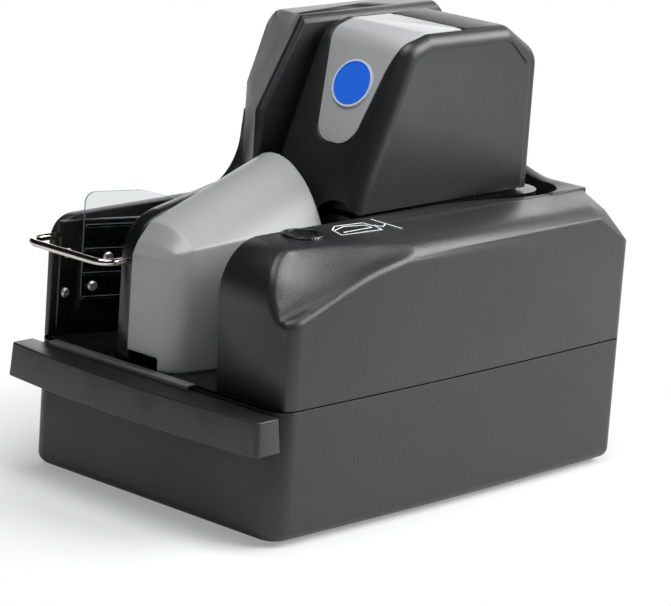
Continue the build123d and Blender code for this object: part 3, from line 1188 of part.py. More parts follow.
def belt(places, z):
    """Flat belt stretched round pulleys."""
    def loop(radius):
        circles = [Pos(x, y) * Circle(radius) for x, y in places]
        return make_hull([edge for circle in circles for edge in circle.edges()])
    inner = PULLEY_RADIUS + CLEARANCE
    band = loop(inner + BELT_THICKNESS) - loop(inner)
    return plan_prism(band, z - BELT_WIDTH / 2, z + BELT_WIDTH / 2)


def track_motor():
    """Square stepper motor standing on the base's floor."""
    x, y = MOTOR_PLACE
    half = MOTOR_SIDE / 2
    plan = rounded_polygon([(x + u * half, y + v * half, MOTOR_CORNER)
                            for u, v in ((-1, -1), (1, -1), (1, 1), (-1, 1))])
    motor = plan_prism(plan, BASE_WALL, MOTOR_TOP)
    motor += post(x, y, MOTOR_BOSS_RADIUS, MOTOR_TOP, MOTOR_TOP + MOTOR_BOSS_HEIGHT)
    return motor - post(x, y, SHAFT_RADIUS + FIT, MOTOR_TOP - SHAFT_IN_MOTOR - CLEARANCE,
                        MOTOR_TOP + MOTOR_BOSS_HEIGHT + 1)


def pick_motor():
    """Round motor under the pick roller, on a pedestal from the base's floor."""
    x, y = PICK_PLACE
    bottom = PICK_MOTOR_TOP - PICK_MOTOR_HEIGHT
    motor = post(x, y, PICK_MOTOR_RADIUS, bottom, PICK_MOTOR_TOP)
    motor += post(x, y, PICK_MOTOR_RADIUS - 5, BASE_WALL, bottom)
    return motor - post(x, y, SHAFT_RADIUS + FIT, PICK_MOTOR_TOP - BEARING_LENGTH - CLEARANCE,
                        PICK_MOTOR_TOP + 1)


# ---- electronics ----
# parts on the board: place in from its left and front edges, width, length and height
CHIPS = ((30.0, 40.0, 24.0, 24.0, 2.5), (12.0, 20.0, 10.0, 14.0, 2.5))
CAPACITOR = (76.0, 30.0, 5.0, 14.0)      # in from the left and front edges, radius, height


def main_board():
    """Board on four posts with its larger chips and a capacitor."""
    board = block(BOARD_LEFT, BOARD_RIGHT, BOARD_FRONT, BOARD_REAR, BOARD_BOTTOM, BOARD_TOP)
    for across, back, width, length, height in CHIPS:
        x, y = BOARD_LEFT + across, BOARD_FRONT + back
        board += block(x, x + width, y, y + length, BOARD_TOP, BOARD_TOP + height)
    across, back, radius, height = CAPACITOR
    return board + post(BOARD_LEFT + across, BOARD_FRONT + back, radius, BOARD_TOP,
                        BOARD_TOP + height)


def connector(index):
    """Socket on the board's rear edge, its mouth just inside the base's rear face."""
    offset, width, height = CONNECTORS[index]
    x = BOARD_LEFT + offset
    rear = BASE_DEPTH - CONNECTOR_RECESS
    body = block(x - width / 2, x + width / 2, BASE_DEPTH - CONNECTOR_DEPTH, rear,
                 BOARD_TOP, BOARD_TOP + height)
    centre = Pos(x, BOARD_TOP + height / 2)
    if index == 0:
        hole = Circle(width / 2 - CONNECTOR_WALL)
        contact = Circle(1.0)
    else:
        hole = Rectangle(width - 2 * CONNECTOR_WALL, height - 2 * CONNECTOR_WALL)
        contact = Rectangle(width - 5 * CONNECTOR_WALL, 2 * CONNECTOR_WALL)
    body -= front_prism(centre * hole, rear - SOCKET_DEPTH, rear + 1)
    return body + front_prism(centre * contact, rear - SOCKET_DEPTH - 1, rear - CONNECTOR_WALL)


# ---- output ----
def place(shape):
    """Move from the modelling frame to the part's origin."""
    return Pos(0, -PLAN_CENTRE, FOOT_HEIGHT) * shape


def write(name, shape):
    """Write one node; a list of solids becomes one file."""
    solids = shape if isinstance(shape, list) else [shape]
    solids = [place(s) for item in solids for s in item.solids()]
    result = solids[0] if len(solids) == 1 else Compound(children=solids)
    export_step(result, f"parts/{name}.step")


os.makedirs("parts", exist_ok=True)
write("base_housing", base_housing())
write("rubber_feet", rubber_feet())
write("housing_screws", housing_screws())
write("track_deck", track_deck())
write("floor_strip", floor_strip())
write("front_tray", front_tray())
write("tray_runners", tray_runners())
write("upper_housing", upper_housing())
write("left_tower", left_tower())
write("island_core", island_core())
write("island_cover", island_cover())
write("access_door", access_door())
write("door_hinge_pin", door_hinge_pin())
write("door_badge", door_badge())
write("cartridge_holder", cartridge_holder())
write("ink_cartridge", ink_cartridge())
write("hopper_guide", hopper_guide())
write("island_wall", island_wall())
write("pocket_liner", pocket_liner())
write("pocket_plate", pocket_plate())
write("pocket_screws", pocket_screws())
write("wire_stop", wire_stop())
write("hopper_flag", hopper_flag())
write("flag_pin", flag_pin())
write("button_bezel", button_bezel())
write("power_button", power_button())
write("button_switch", button_switch())
write("scan_module_front", scan_module(1))
write("scan_module_rear", scan_module(-1))
write("scan_glass", scan_glass())
write("magnetic_head", magnetic_head())
write("entry_roller", entry_roller())
write("entry_tyres", tyres(ENTRY_PLACE, ROLLER_RADIUS))
write("exit_roller", exit_roller())
write("exit_tyres", tyres(EXIT_PLACE, ROLLER_RADIUS))
write("pick_roller", pick_roller())
write("pick_tyres", tyres(PICK_PLACE, PICK_RADIUS))
write("entry_pinch_roller", pinch_roller(ENTRY_PINCH_PLACE))
write("exit_pinch_roller", pinch_roller(EXIT_PINCH_PLACE))
write("track_motor", track_motor())
write("track_pulley", track_pulley())
write("pick_motor", pick_motor())
write("track_belt", belt((MOTOR_PLACE, EXIT_PLACE), BELT_HIGH))
write("roller_belt", belt((ENTRY_PLACE, EXIT_PLACE), BELT_LOW))
write("main_board", main_board())
write("power_inlet", connector(0))
write("data_port", connector(1))
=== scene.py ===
import math

import bpy
from mathutils import Matrix, Vector


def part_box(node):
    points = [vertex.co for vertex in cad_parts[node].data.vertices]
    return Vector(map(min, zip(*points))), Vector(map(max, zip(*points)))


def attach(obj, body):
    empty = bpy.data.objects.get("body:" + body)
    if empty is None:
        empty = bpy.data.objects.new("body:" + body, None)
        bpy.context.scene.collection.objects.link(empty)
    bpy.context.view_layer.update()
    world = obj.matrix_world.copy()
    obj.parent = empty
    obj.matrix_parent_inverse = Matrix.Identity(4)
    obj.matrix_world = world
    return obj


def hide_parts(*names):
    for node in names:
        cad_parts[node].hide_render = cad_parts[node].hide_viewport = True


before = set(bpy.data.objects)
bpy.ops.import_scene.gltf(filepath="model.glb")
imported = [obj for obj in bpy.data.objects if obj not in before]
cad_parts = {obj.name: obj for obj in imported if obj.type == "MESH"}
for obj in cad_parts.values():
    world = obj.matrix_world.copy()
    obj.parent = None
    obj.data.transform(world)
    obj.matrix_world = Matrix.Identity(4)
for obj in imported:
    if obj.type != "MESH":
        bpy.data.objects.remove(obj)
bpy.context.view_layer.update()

bpy.ops.object.select_all(action="DESELECT")

# ---- camera ----
# The scanner is looked at from its front right corner, a little above the towers, with a long
# lens. The camera is turned a few degrees about its own line of sight.
CAMERA_PLACE = Vector((1.253909, -1.395056, 0.568504))
AZIMUTH = math.radians(41.74)
ELEVATION = math.radians(14.18)
ROLL = math.radians(4.09)
FOCAL_PIXELS = 3507
PICTURE_PIXELS = 671
FILM_WIDTH = 36
back = Vector((math.sin(AZIMUTH) * math.cos(ELEVATION), -math.cos(AZIMUTH) * math.cos(ELEVATION),
               math.sin(ELEVATION)))
level = Vector((math.cos(AZIMUTH), math.sin(AZIMUTH), 0))
upright = back.cross(level)
across = math.cos(ROLL) * level + math.sin(ROLL) * upright
upwards = math.cos(ROLL) * upright - math.sin(ROLL) * level
bpy.ops.object.camera_add()
camera = bpy.context.object
camera.name = "camera"
pose = Matrix((across, upwards, back)).transposed().to_4x4()
pose.translation = CAMERA_PLACE
camera.matrix_world = pose
camera.data.sensor_fit = "HORIZONTAL"
camera.data.sensor_width = FILM_WIDTH
camera.data.lens = FOCAL_PIXELS / PICTURE_PIXELS * FILM_WIDTH
camera.data.clip_start = 0.01
camera.data.clip_end = 20
bpy.context.scene.camera = camera


# ---- table and studio ----
# The scanner stands on a white laminate table in a studio: one soft lamp high behind its right
# side, a weak one low behind its left and one over it. The walls behind the scanner are white,
# and the ceiling and the room behind the camera are dark.
def linear(code):
    """sRGB hex colour as linear numbers."""
    parts = [int(code[i:i + 2], 16) / 255 for i in (1, 3, 5)]
    return (*[p / 12.92 if p < 0.04045 else ((p + 0.055) / 1.055) ** 2.4 for p in parts], 1.0)


def feed(tree, node, inputs):
    """Set each input to a constant, or link it to a socket or to another node's first output."""
    for name, value in inputs:
        if isinstance(value, bpy.types.Node):
            value = value.outputs[0]
        if isinstance(value, bpy.types.NodeSocket):
            tree.links.new(value, node.inputs[name])
        else:
            node.inputs[name].default_value = value


def add_node(tree, kind, inputs=(), stops=(), **settings):
    """Add a node with its settings and inputs; stops are a ramp's places and colours."""
    node = tree.nodes.new("ShaderNode" + kind)
    for name, value in settings.items():
        setattr(node, name, value)
    feed(tree, node, inputs)
    if stops:
        elements = node.color_ramp.elements
        while len(elements) < len(stops):
            elements.new(0.5)
        for element, (place, colour) in zip(elements, stops):
            element.position = place
            element.color = colour
    return node


def softbox(name, place, aim, width, height, watts):
    """Rectangular studio lamp at a place, aimed at a point."""
    bpy.ops.object.light_add(type="AREA", location=place)
    lamp = bpy.context.object
    lamp.name = name
    lamp.data.shape = "RECTANGLE"
    lamp.data.size = width
    lamp.data.size_y = height
    lamp.data.energy = watts
    lamp.rotation_euler = (Vector(place) - Vector(aim)).to_track_quat("Z", "Y").to_euler()


TABLE_SIZE = 8
BLACK = (0, 0, 0, 1)
WHITE = (1, 1, 1, 1)
bpy.ops.mesh.primitive_plane_add(size=TABLE_SIZE)
table = bpy.context.object
table.name = "table"

# white laminate: matt and even. Near the scanner it takes the lamps' shadow under a painted white
# glow, which lightens that shadow and grows outwards to paint it out 0.23 m to each side and
# 0.29 m to the front and rear of the middle; further off the glow is as white as the walls
SHADOW_SCALE = (4.4, 3.5, 1.0)
SHADOW_SHARE = (0.70, 0.70, 0.70, 1)
MIRRORED_WHITE = 0.40
white_laminate = bpy.data.materials.new("white laminate table")
white_laminate.use_nodes = True
tree = white_laminate.node_tree
tree.nodes.remove(tree.nodes["Principled BSDF"])
place = add_node(tree, "TexCoord").outputs["Object"]
spread = add_node(tree, "Mapping", [("Vector", place), ("Scale", SHADOW_SCALE)])
fade = add_node(tree, "TexGradient", [("Vector", spread)], gradient_type="SPHERICAL")
near = add_node(tree, "ValToRGB", [("Fac", fade.outputs["Fac"])],
                [(0.0, BLACK), (0.38, SHADOW_SHARE)])
far = add_node(tree, "Math", [(0, 1.0), (1, near)], operation="SUBTRACT")
path = add_node(tree, "LightPath").outputs
mirrored = add_node(tree, "Math", [(0, path["Is Glossy Ray"]), (1, path["Is Transmission Ray"])],
                    operation="ADD")
seen = add_node(tree, "Math", [(0, mirrored), (1, MIRRORED_WHITE), (2, path["Is Camera Ray"])],
                operation="MULTIPLY_ADD", use_clamp=True)
glow_share = add_node(tree, "Math", [(0, far), (1, seen)], operation="MULTIPLY")
matt = add_node(tree, "BsdfDiffuse", [("Color", linear("#ececec"))])
# painted light: a glow of plain white, seen by the camera and partly in reflections
plain = add_node(tree, "Emission", [("Color", WHITE), ("Strength", 1.0)])
both = add_node(tree, "MixShader", [("Fac", glow_share), (1, matt), (2, plain)])
feed(tree, tree.nodes["Material Output"], [("Surface", both)])
table.data.materials.append(white_laminate)

softbox("lamp_right", place=(0.94, 0.90, 1.00), aim=(0, 0, 0.10), width=1.3, height=0.8, watts=32)
softbox("lamp_top", place=(0.08, -0.30, 1.48), aim=(0, 0, 0.10), width=0.9, height=0.8, watts=14)
softbox("lamp_behind", place=(-1.28, 1.42, 0.52), aim=(0, 0, 0.15), width=1.6, height=0.6, watts=4)

# the room: dim even fill, seen by plastic and metal as white walls low behind the scanner
TOWARDS_WALLS = (0.0, 0.9, -0.8)
studio = bpy.data.worlds.new("white studio")
bpy.context.scene.world = studio
studio.use_nodes = True
tree = studio.node_tree
tree.nodes.remove(tree.nodes["Background"])
direction = add_node(tree, "TexCoord").outputs["Generated"]
behind = add_node(tree, "VectorMath", [(0, direction), (1, TOWARDS_WALLS)],
                  operation="DOT_PRODUCT")
room = add_node(tree, "ValToRGB", [("Fac", behind.outputs["Value"])],
                [(0.16, linear("#181818")), (0.36, WHITE)])
fill = add_node(tree, "Background", [("Color", linear("#f4f6ff")), ("Strength", 0.16)])
walls = add_node(tree, "Background", [("Color", room), ("Strength", 1.0)])
white = add_node(tree, "Background", [("Color", WHITE), ("Strength", 1.0)])
path = add_node(tree, "LightPath").outputs
shiny = add_node(tree, "Math", [(0, path["Is Glossy Ray"]), (1, path["Is Transmission Ray"])],
                 operation="ADD", use_clamp=True)
inner = add_node(tree, "MixShader", [("Fac", shiny), (1, fill), (2, walls)])
outer = add_node(tree, "MixShader", [("Fac", path["Is Camera Ray"]), (1, inner), (2, white)])
feed(tree, tree.nodes["World Output"], [("Surface", outer)])
bpy.context.scene.view_settings.view_transform = "Standard"

# ---- base tub ----
# The base is one injection moulding in charcoal ABS, with its outside spark-eroded to a fine
# grain. The upper housing stands on its rim, and the shade in their joint is painted as a thin
# dark line.
WELD = 0.00001
FLAT_ANGLE = math.radians(0.5)
SHARP_ANGLE = math.radians(60)
SMOOTH_ANGLE = math.radians(40)


def new_material(name):
    """Empty principled material, its node tree and its shader."""
    material = bpy.data.materials.new(name)
    material.use_nodes = True
    return material, material.node_tree, material.node_tree.nodes["Principled BSDF"]


def grain(tree, pitch, detail=2.0, stretch=(1, 1, 1)):
    """Pattern of soft spots about pitch millimetres wide."""
    place = add_node(tree, "TexCoord").outputs["Object"]
    scale = [1000 / pitch * s for s in stretch]
    spots = add_node(tree, "Mapping", [("Vector", place), ("Scale", scale)])
    return add_node(tree, "TexNoise", [("Vector", spots), ("Scale", 1.0), ("Detail", detail)])


def dress(name, material):
    """Give a carried-over solid its finish."""
    mesh = bpy.data.objects[name].data
    mesh.materials.clear()
    mesh.materials.append(material)


def merged_copy(node, name):
    """Copy of a solid with its loose triangles joined, left in edit mode and all selected."""
    piece = bpy.data.objects.new(name, bpy.data.objects[node].data.copy())
    bpy.context.scene.collection.objects.link(piece)
    bpy.context.view_layer.objects.active = piece
    piece.select_set(True)
    bpy.ops.object.mode_set(mode="EDIT")
    bpy.ops.mesh.select_all(action="SELECT")
    bpy.ops.mesh.remove_doubles(threshold=WELD)
    return piece


def install(piece, node, body, material):
    """Put a finished piece in its solid's place, in its own finish."""
    piece.select_set(False)
    piece.data.materials.clear()
    piece.data.materials.append(material)
    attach(piece, body)
    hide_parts(node)


def softened(node, name, body, material, radius_mm):
    """Copy of a moulding's solid with its sharp edges rounded, as a moulded edge is."""
    piece = merged_copy(node, name)
    bpy.ops.mesh.dissolve_limited(angle_limit=FLAT_ANGLE)
    bpy.ops.mesh.select_all(action="DESELECT")
    bpy.ops.object.mode_set(mode="OBJECT")
    edge = piece.modifiers.new("moulded edge", "BEVEL")
    edge.width = radius_mm / 1000
    edge.segments = 2
    edge.limit_method = "ANGLE"
    edge.angle_limit = SHARP_ANGLE
    edge.use_clamp_overlap = False
    edge.miter_outer = "MITER_ARC"
    bpy.ops.object.modifier_apply(modifier="moulded edge")
    bpy.ops.object.shade_smooth_by_angle(angle=SMOOTH_ANGLE)
    # where rounded edges meet, a corner may swell, so every point is held inside the solid's box
    low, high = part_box(node)
    for corner in piece.data.vertices:
        corner.co = [min(max(c, a), b) for c, a, b in zip(corner.co, low, high)]
    install(piece, node, body, material)
    return piece


# spark-eroded ABS: the tool's grain of about 0.3 mm, drawn 0.8 mm coarse so that it shows,
# breaks up each highlight; the colour is flecked and slightly uneven, and painted shade, a black
# line 0.8 mm wide, stands for the shade in the gap between the base and the upper mouldings
JOINT_HEIGHT = 0.0735
JOINT_HALF_WIDTH = 0.0004
JOINT_BLUR = 0.00005
charcoal_abs, tree, shader = new_material("charcoal ABS, spark-eroded")
spots = grain(tree, 0.8, 3.0)
tone = add_node(tree, "ValToRGB", [("Fac", spots)],
                [(0.35, linear("#1c1c1d")), (0.68, linear("#262627"))])
wear = add_node(tree, "MapRange", [("Value", grain(tree, 45.0)), ("From Min", 0.3),
                                   ("From Max", 0.7), ("To Min", 0.35), ("To Max", 0.43)])
bump = add_node(tree, "Bump", [("Height", spots), ("Strength", 0.8), ("Distance", 0.0002)])
feed(tree, shader, [("Base Color", tone), ("Roughness", wear), ("Normal", bump), ("IOR", 1.54)])
place = add_node(tree, "TexCoord").outputs["Object"]
height = add_node(tree, "SeparateXYZ", [("Vector", place)]).outputs["Z"]
above = add_node(tree, "Math", [(0, height), (1, JOINT_HEIGHT)], operation="SUBTRACT")
away = add_node(tree, "Math", [(0, above)], operation="ABSOLUTE")
gap = add_node(tree, "MapRange", [("Value", away), ("From Min", JOINT_HALF_WIDTH - JOINT_BLUR),
                                  ("From Max", JOINT_HALF_WIDTH + JOINT_BLUR),
                                  ("To Min", 1.0), ("To Max", 0.0)])
# painted shade: a matt black band at the joint's height stands for the shade in the gap
black = add_node(tree, "BsdfDiffuse", [("Color", linear("#060606"))])
with_painted_joint_shade = add_node(tree, "MixShader", [("Fac", gap), (1, shader), (2, black)])
feed(tree, tree.nodes["Material Output"], [("Surface", with_painted_joint_shade)])
softened("base_housing", "base_tub", "body", charcoal_abs, radius_mm=0.6)

# ---- feet and base screws ----
# Four round rubber feet are stuck to the underside. Near them, four socket-head steel screws
# are sunk in wells and turn up into the base's bosses.

# moulded rubber: matt, soft black, its bloom of about 0.5 mm drawn 1.2 mm coarse
black_rubber, tree, shader = new_material("natural rubber, moulded")
bloom = grain(tree, 1.2, 3.0)
tone = add_node(tree, "ValToRGB", [("Fac", bloom)],
                [(0.3, linear("#1c1c1c")), (0.7, linear("#2a2a29"))])
bump = add_node(tree, "Bump", [("Height", bloom), ("Strength", 0.3), ("Distance", 0.0001)])
feed(tree, shader, [("Base Color", tone), ("Roughness", 0.8), ("Normal", bump)])
dress("rubber_feet", black_rubber)

# zinc-plated steel: fairly bright, with the cloudy unevenness of barrel plating, 4 mm across
zinc_steel, tree, shader = new_material("steel, zinc plated")
clouds = grain(tree, 4.0, 4.0)
tone = add_node(tree, "ValToRGB", [("Fac", clouds)],
                [(0.3, linear("#9b9c9e")), (0.7, linear("#b6b7b8"))])
dull = add_node(tree, "MapRange", [("Value", clouds), ("To Min", 0.25), ("To Max", 0.42)])
feed(tree, shader, [("Base Color", tone), ("Roughness", dull), ("Metallic", 1.0)])
dress("housing_screws", zinc_steel)

# ---- main board and its sockets ----
# A green glass-epoxy board stands on four posts at the rear left. Its power and data sockets
# look out through two holes in the base's rear wall.

# solder mask: fairly glossy green, with paler copper lines round blocks of 2 by 1 mm
COPPER_PITCH = 0.004
board_epoxy, tree, shader = new_material("glass epoxy board, green solder mask")
place = add_node(tree, "TexCoord").outputs["Object"]
tracks = add_node(tree, "Mapping", [("Vector", place), ("Scale", [1 / COPPER_PITCH] * 3)])
lines = add_node(tree, "TexBrick", [("Vector", tracks), ("Color1", linear("#1d5a38")),
                                    ("Color2", linear("#226b41")), ("Mortar", linear("#2f8453")),
                                    ("Mortar Size", 0.06), ("Scale", 1.0)])
feed(tree, shader, [("Base Color", lines), ("Roughness", 0.35)])
dress("main_board", board_epoxy)

# glass-filled nylon: dull black, with short pale fibres of about 0.3 mm just under its skin,
# drawn 0.8 mm coarse
black_nylon, tree, shader = new_material("glass-filled nylon, moulded")
fibres = grain(tree, 0.8, 3.0, (1.0, 1.0, 0.25))
tone = add_node(tree, "ValToRGB", [("Fac", fibres)],
                [(0.4, linear("#17171a")), (0.75, linear("#2b2b2e"))])
feed(tree, shader, [("Base Color", tone), ("Roughness", 0.55)])
dress("power_inlet", black_nylon)
dress("data_port", zinc_steel)

# ---- motors, pulleys and belts ----
# A square stepper motor in a zinc-plated case turns the two track rollers by flat rubber belts,
# and a round one stands under the pick roller. All of it is inside the base.
for name in ("track_motor", "pick_motor", "track_pulley"):
    dress(name, zinc_steel)
for name in ("track_belt", "roller_belt"):
    dress(name, black_rubber)

# ---- track deck ----
# The deck under the track, hopper and pocket is a separate black ABS plate, smooth so that
# documents slide on it. It drops on a ledge inside the tub.

# polished-tool ABS: deep black and glossy, with a faint ripple every 2.5 mm, and dulled in
# 14 mm smears where hands and paper rub it
smooth_abs, tree, shader = new_material("black ABS, polished tool")
smears = grain(tree, 14.0, 4.0, (1.0, 0.4, 1.0))
tone = add_node(tree, "ValToRGB", [("Fac", smears)],
                [(0.3, linear("#0f0f10")), (0.75, linear("#171718"))])
rub = add_node(tree, "MapRange", [("Value", smears), ("From Min", 0.3), ("From Max", 0.7),
                                  ("To Min", 0.2), ("To Max", 0.34)])
ripple = add_node(tree, "Bump", [("Height", grain(tree, 2.5)), ("Strength", 0.08),
                                 ("Distance", 0.0001)])
feed(tree, shader, [("Base Color", tone), ("Roughness", rub), ("Normal", ripple), ("IOR", 1.52)])
dress("track_deck", smooth_abs)

# ---- floor strip ----
# A stainless steel strip is folded over the front edge of the floor, where documents rub. It
# is brushed along its length.

# brushed stainless: long fine strokes of about 0.1 mm, drawn 0.5 mm coarse
brushed_steel, tree, shader = new_material("stainless steel, brushed")
strokes = grain(tree, 0.5, 3.0, (0.02, 1.0, 1.0))
tone = add_node(tree, "ValToRGB", [("Fac", strokes)],
                [(0.3, linear("#b9b9b8")), (0.7, linear("#d6d6d4"))])
dull = add_node(tree, "MapRange", [("Value", strokes), ("To Min", 0.3), ("To Max", 0.5)])
score = add_node(tree, "Bump", [("Height", strokes), ("Strength", 0.15), ("Distance", 0.00005)])
feed(tree, shader, [("Base Color", tone), ("Roughness", dull), ("Normal", score),
                    ("Metallic", 1.0)])
dress("floor_strip", brushed_steel)

# ---- front tray ----
# The tray's lip wraps the base's front, and its plate slides back under the deck on two black
# runners. It is moulded in the same charcoal ABS as the base.
softened("front_tray", "tray_lip", "tray", charcoal_abs, radius_mm=0.7)
dress("tray_runners", smooth_abs)

# ---- upper housing ----
# The right-hand cover, the wall round the rear of the track and the fin behind it are one
# charcoal ABS moulding. The cover's front corner has a sunken shoulder.
housing = softened("upper_housing", "right_housing", "body", charcoal_abs,
                   radius_mm=0.5)

# the sloped rear corner swells a little, so its face is drawn up to a low point in the middle
SLOPE_FACING = Vector((0.486, 0.466, 0.739)).normalized()
ALIGNED = 0.999
LEAST_AREA = 0.0001
SWELL = 0.003
for face in housing.data.polygons:
    face.select = face.normal.dot(SLOPE_FACING) > ALIGNED and face.area > LEAST_AREA
housing.select_set(True)
bpy.ops.object.mode_set(mode="EDIT")
bpy.ops.mesh.select_mode(type="FACE")
bpy.ops.mesh.poke(offset=SWELL)
bpy.ops.object.mode_set(mode="OBJECT")
bpy.ops.object.shade_smooth_by_angle(angle=SMOOTH_ANGLE)
housing.select_set(False)

# ---- pictogram ----
# A small picture of how a stack of documents is put in is pad-printed in white on the cover's
# top, behind the button. Its strokes are just under a millimetre wide and follow the cover's
# gentle fall to the right.

# points of each stroke in millimetres: right of the base's middle, then back from its front
OUTLINES = (
    ((52.0, 74.2), (47.3, 81.0), (49.4, 100.9), (58.7, 101.9), (64.0, 100.3), (61.9, 71.2),
     (52.0, 74.2)),
    ((53.3, 74.9), (49.9, 85.3), (53.5, 99.0), (58.4, 98.3), (58.3, 76.1)),
    ((46.4, 110.9), (67.9, 112.2)),
    ((56.9, 110.6), (60.1, 105.7), (55.8, 102.8)))
BASE_FRONT = -0.129
COVER_TOP = 0.1535
COVER_INNER_MM = 40
COVER_WIDTH_MM = 55
COVER_FALL_MM = 2.0
STROKE_RADIUS = 0.00062
STROKE_SUNK = 0.0004
printing = bpy.data.curves.new("cheque_pictogram", "CURVE")
printing.dimensions = "3D"
printing.bevel_depth = STROKE_RADIUS
printing.bevel_resolution = 1
printing.use_fill_caps = True
for outline in OUTLINES:
    stroke = printing.splines.new("POLY")
    stroke.points.add(len(outline) - 1)
    for point, (x, y) in zip(stroke.points, outline):
        fall = COVER_FALL_MM * (x - COVER_INNER_MM) / COVER_WIDTH_MM / 1000
        point.co = (x / 1000, BASE_FRONT + y / 1000, COVER_TOP - fall - STROKE_SUNK, 1)
pictogram = bpy.data.objects.new("cheque_pictogram", printing)
bpy.context.scene.collection.objects.link(pictogram)
bpy.context.view_layer.objects.active = pictogram
pictogram.select_set(True)
bpy.ops.object.convert(target="MESH")
pictogram.select_set(False)

# pad-printed ink: matt white, a little thin where the grain shows through, 0.6 mm coarse
white_ink, tree, shader = new_material("pad-printed ink, white")
tone = add_node(tree, "ValToRGB", [("Fac", grain(tree, 0.6, 3.0))],
                [(0.3, linear("#dddee0")), (0.7, linear("#f4f5f5"))])
feed(tree, shader, [("Base Color", tone), ("Roughness", 0.6)])
pictogram.data.materials.append(white_ink)
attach(pictogram, "body")

# ---- left tower ----
# The pocket's outer wall and the tall tower left of the track are a second charcoal ABS
# moulding, joined to the first at the rear of the track.
softened("left_tower", "left_housing", "body", charcoal_abs, radius_mm=0.6)

# ---- island ----
# A black chassis block stands between the two legs of the track, and the charcoal tower cover
# is clipped over it, with a thin shadow gap under its edge.
dress("island_core", smooth_abs)
cover = softened("island_cover", "tower_cover", "body", charcoal_abs,
                 radius_mm=0.3)

# the side's sunk panel runs out flush at the rear, so the band behind it is pressed flat
PANEL_DEPTH = 0.0008
REAR_BAND = 0.012
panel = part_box("island_cover")[1][0] - PANEL_DEPTH
panel_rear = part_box("island_cover")[1][1] - REAR_BAND
for corner in cover.data.vertices:
    if corner.co.y > panel_rear and corner.co.x > panel:
        corner.co.x = panel

# ---- rollers ----
# Ground steel shafts and hubs carry grey polyurethane tyres, which grip the document against
# idle pinch rollers on the other side of the track.
for name in ("entry_roller", "exit_roller", "pick_roller", "entry_pinch_roller",
             "exit_pinch_roller"):
    dress(name, brushed_steel)

# ground polyurethane: matt grey, its grinding lines of about 0.2 mm drawn 0.7 mm coarse
grey_tyre, tree, shader = new_material("polyurethane, ground")
bands = grain(tree, 0.7, 3.0, (1.0, 1.0, 0.1))
tone = add_node(tree, "ValToRGB", [("Fac", bands)],
                [(0.3, linear("#5b5c5c")), (0.7, linear("#6d6e6e"))])
rough = add_node(tree, "Bump", [("Height", bands), ("Strength", 0.2), ("Distance", 0.0001)])
feed(tree, shader, [("Base Color", tone), ("Roughness", 0.7), ("Normal", rough)])
for name in ("entry_tyres", "exit_tyres", "pick_tyres"):
    dress(name, grey_tyre)

# ---- scan modules and read head ----
# Two contact image sensors in nylon cases face each other across the rear of the track, each
# behind a strip of glass, and a steel magnetic head reads the code line near the floor.
dress("scan_module_front", black_nylon)
dress("scan_module_rear", black_nylon)
dress("magnetic_head", brushed_steel)

# float glass: clear, faintly green, with a haze of dust in spots of 1.5 mm
strip_glass, tree, shader = new_material("float glass")
haze = add_node(tree, "MapRange", [("Value", grain(tree, 1.5, 4.0)), ("From Min", 0.4),
                                   ("From Max", 0.9), ("To Min", 0.02), ("To Max", 0.18)])
feed(tree, shader, [("Base Color", linear("#e6f2ee")), ("Roughness", haze),
                    ("Transmission Weight", 1.0), ("IOR", 1.52)])
dress("scan_glass", strip_glass)

# ---- ink cartridge ----
# The endorser's cartridge is moulded in dark polypropylene and sits in a black ABS cradle
# under the access door.
dress("cartridge_holder", smooth_abs)

# moulded polypropylene: waxy dark grey, with a faint ripple every 6 mm or so
polypropylene, tree, shader = new_material("polypropylene, moulded")
waves = grain(tree, 6.0, 3.0)
tone = add_node(tree, "ValToRGB", [("Fac", waves)],
                [(0.3, linear("#3a3c40")), (0.7, linear("#474a4f"))])
swell = add_node(tree, "Bump", [("Height", waves), ("Strength", 0.1), ("Distance", 0.0003)])
feed(tree, shader, [("Base Color", tone), ("Roughness", 0.4), ("Normal", swell)])
dress("ink_cartridge", polypropylene)

# ---- access door and badge ----
# The door is a bent tongue of grey ABS, hinged near the tower's rear on a steel pin. A plain
# blue badge with a pale rim is glued to its leaning face.
dress("door_hinge_pin", brushed_steel)

# satin ABS: an even mid grey, its texture of about 0.2 mm drawn 0.5 mm coarse
door_abs, tree, shader = new_material("grey ABS, satin tool")
spots = grain(tree, 0.5, 3.0)
tone = add_node(tree, "ValToRGB", [("Fac", spots)],
                [(0.3, linear("#a9aaaa")), (0.72, linear("#b2b3b3"))])
bump = add_node(tree, "Bump", [("Height", spots), ("Strength", 0.3), ("Distance", 0.00008)])
feed(tree, shader, [("Base Color", tone), ("Roughness", 0.42), ("Normal", bump), ("IOR", 1.52)])
softened("access_door", "door_skin", "door", door_abs, radius_mm=0.45)

# cast resin badge: printed blue under a clear dome, with a pale printed rim
BADGE_CENTRE = (0.011, -0.0005, 0.2194)
BADGE_RADIUS = 0.0135
badge_resin, tree, shader = new_material("cast resin badge, printed")
place = add_node(tree, "TexCoord").outputs["Object"]
centred = add_node(tree, "VectorMath", [(0, place), (1, BADGE_CENTRE)], operation="SUBTRACT")
out = add_node(tree, "VectorMath", [(0, centred)], operation="LENGTH").outputs["Value"]
ring = add_node(tree, "MapRange", [("Value", out), ("From Min", 0.0), ("From Max", BADGE_RADIUS)])
print_colour = add_node(tree, "ValToRGB", [("Fac", ring)],
                        [(0.0, linear("#2874fa")), (0.915, linear("#2874fa")),
                         (0.93, linear("#dfe5ee"))])
feed(tree, shader, [("Base Color", print_colour), ("Roughness", 0.3), ("Coat Weight", 0.4),
                    ("Coat Roughness", 0.08)])
dress("door_badge", badge_resin)

# ---- hopper guide ----
# The grey guide is a thin ABS sheet moulding: a rounded front corner under a hood that climbs
# back to the tower. Its inside shows behind the hood's edge.

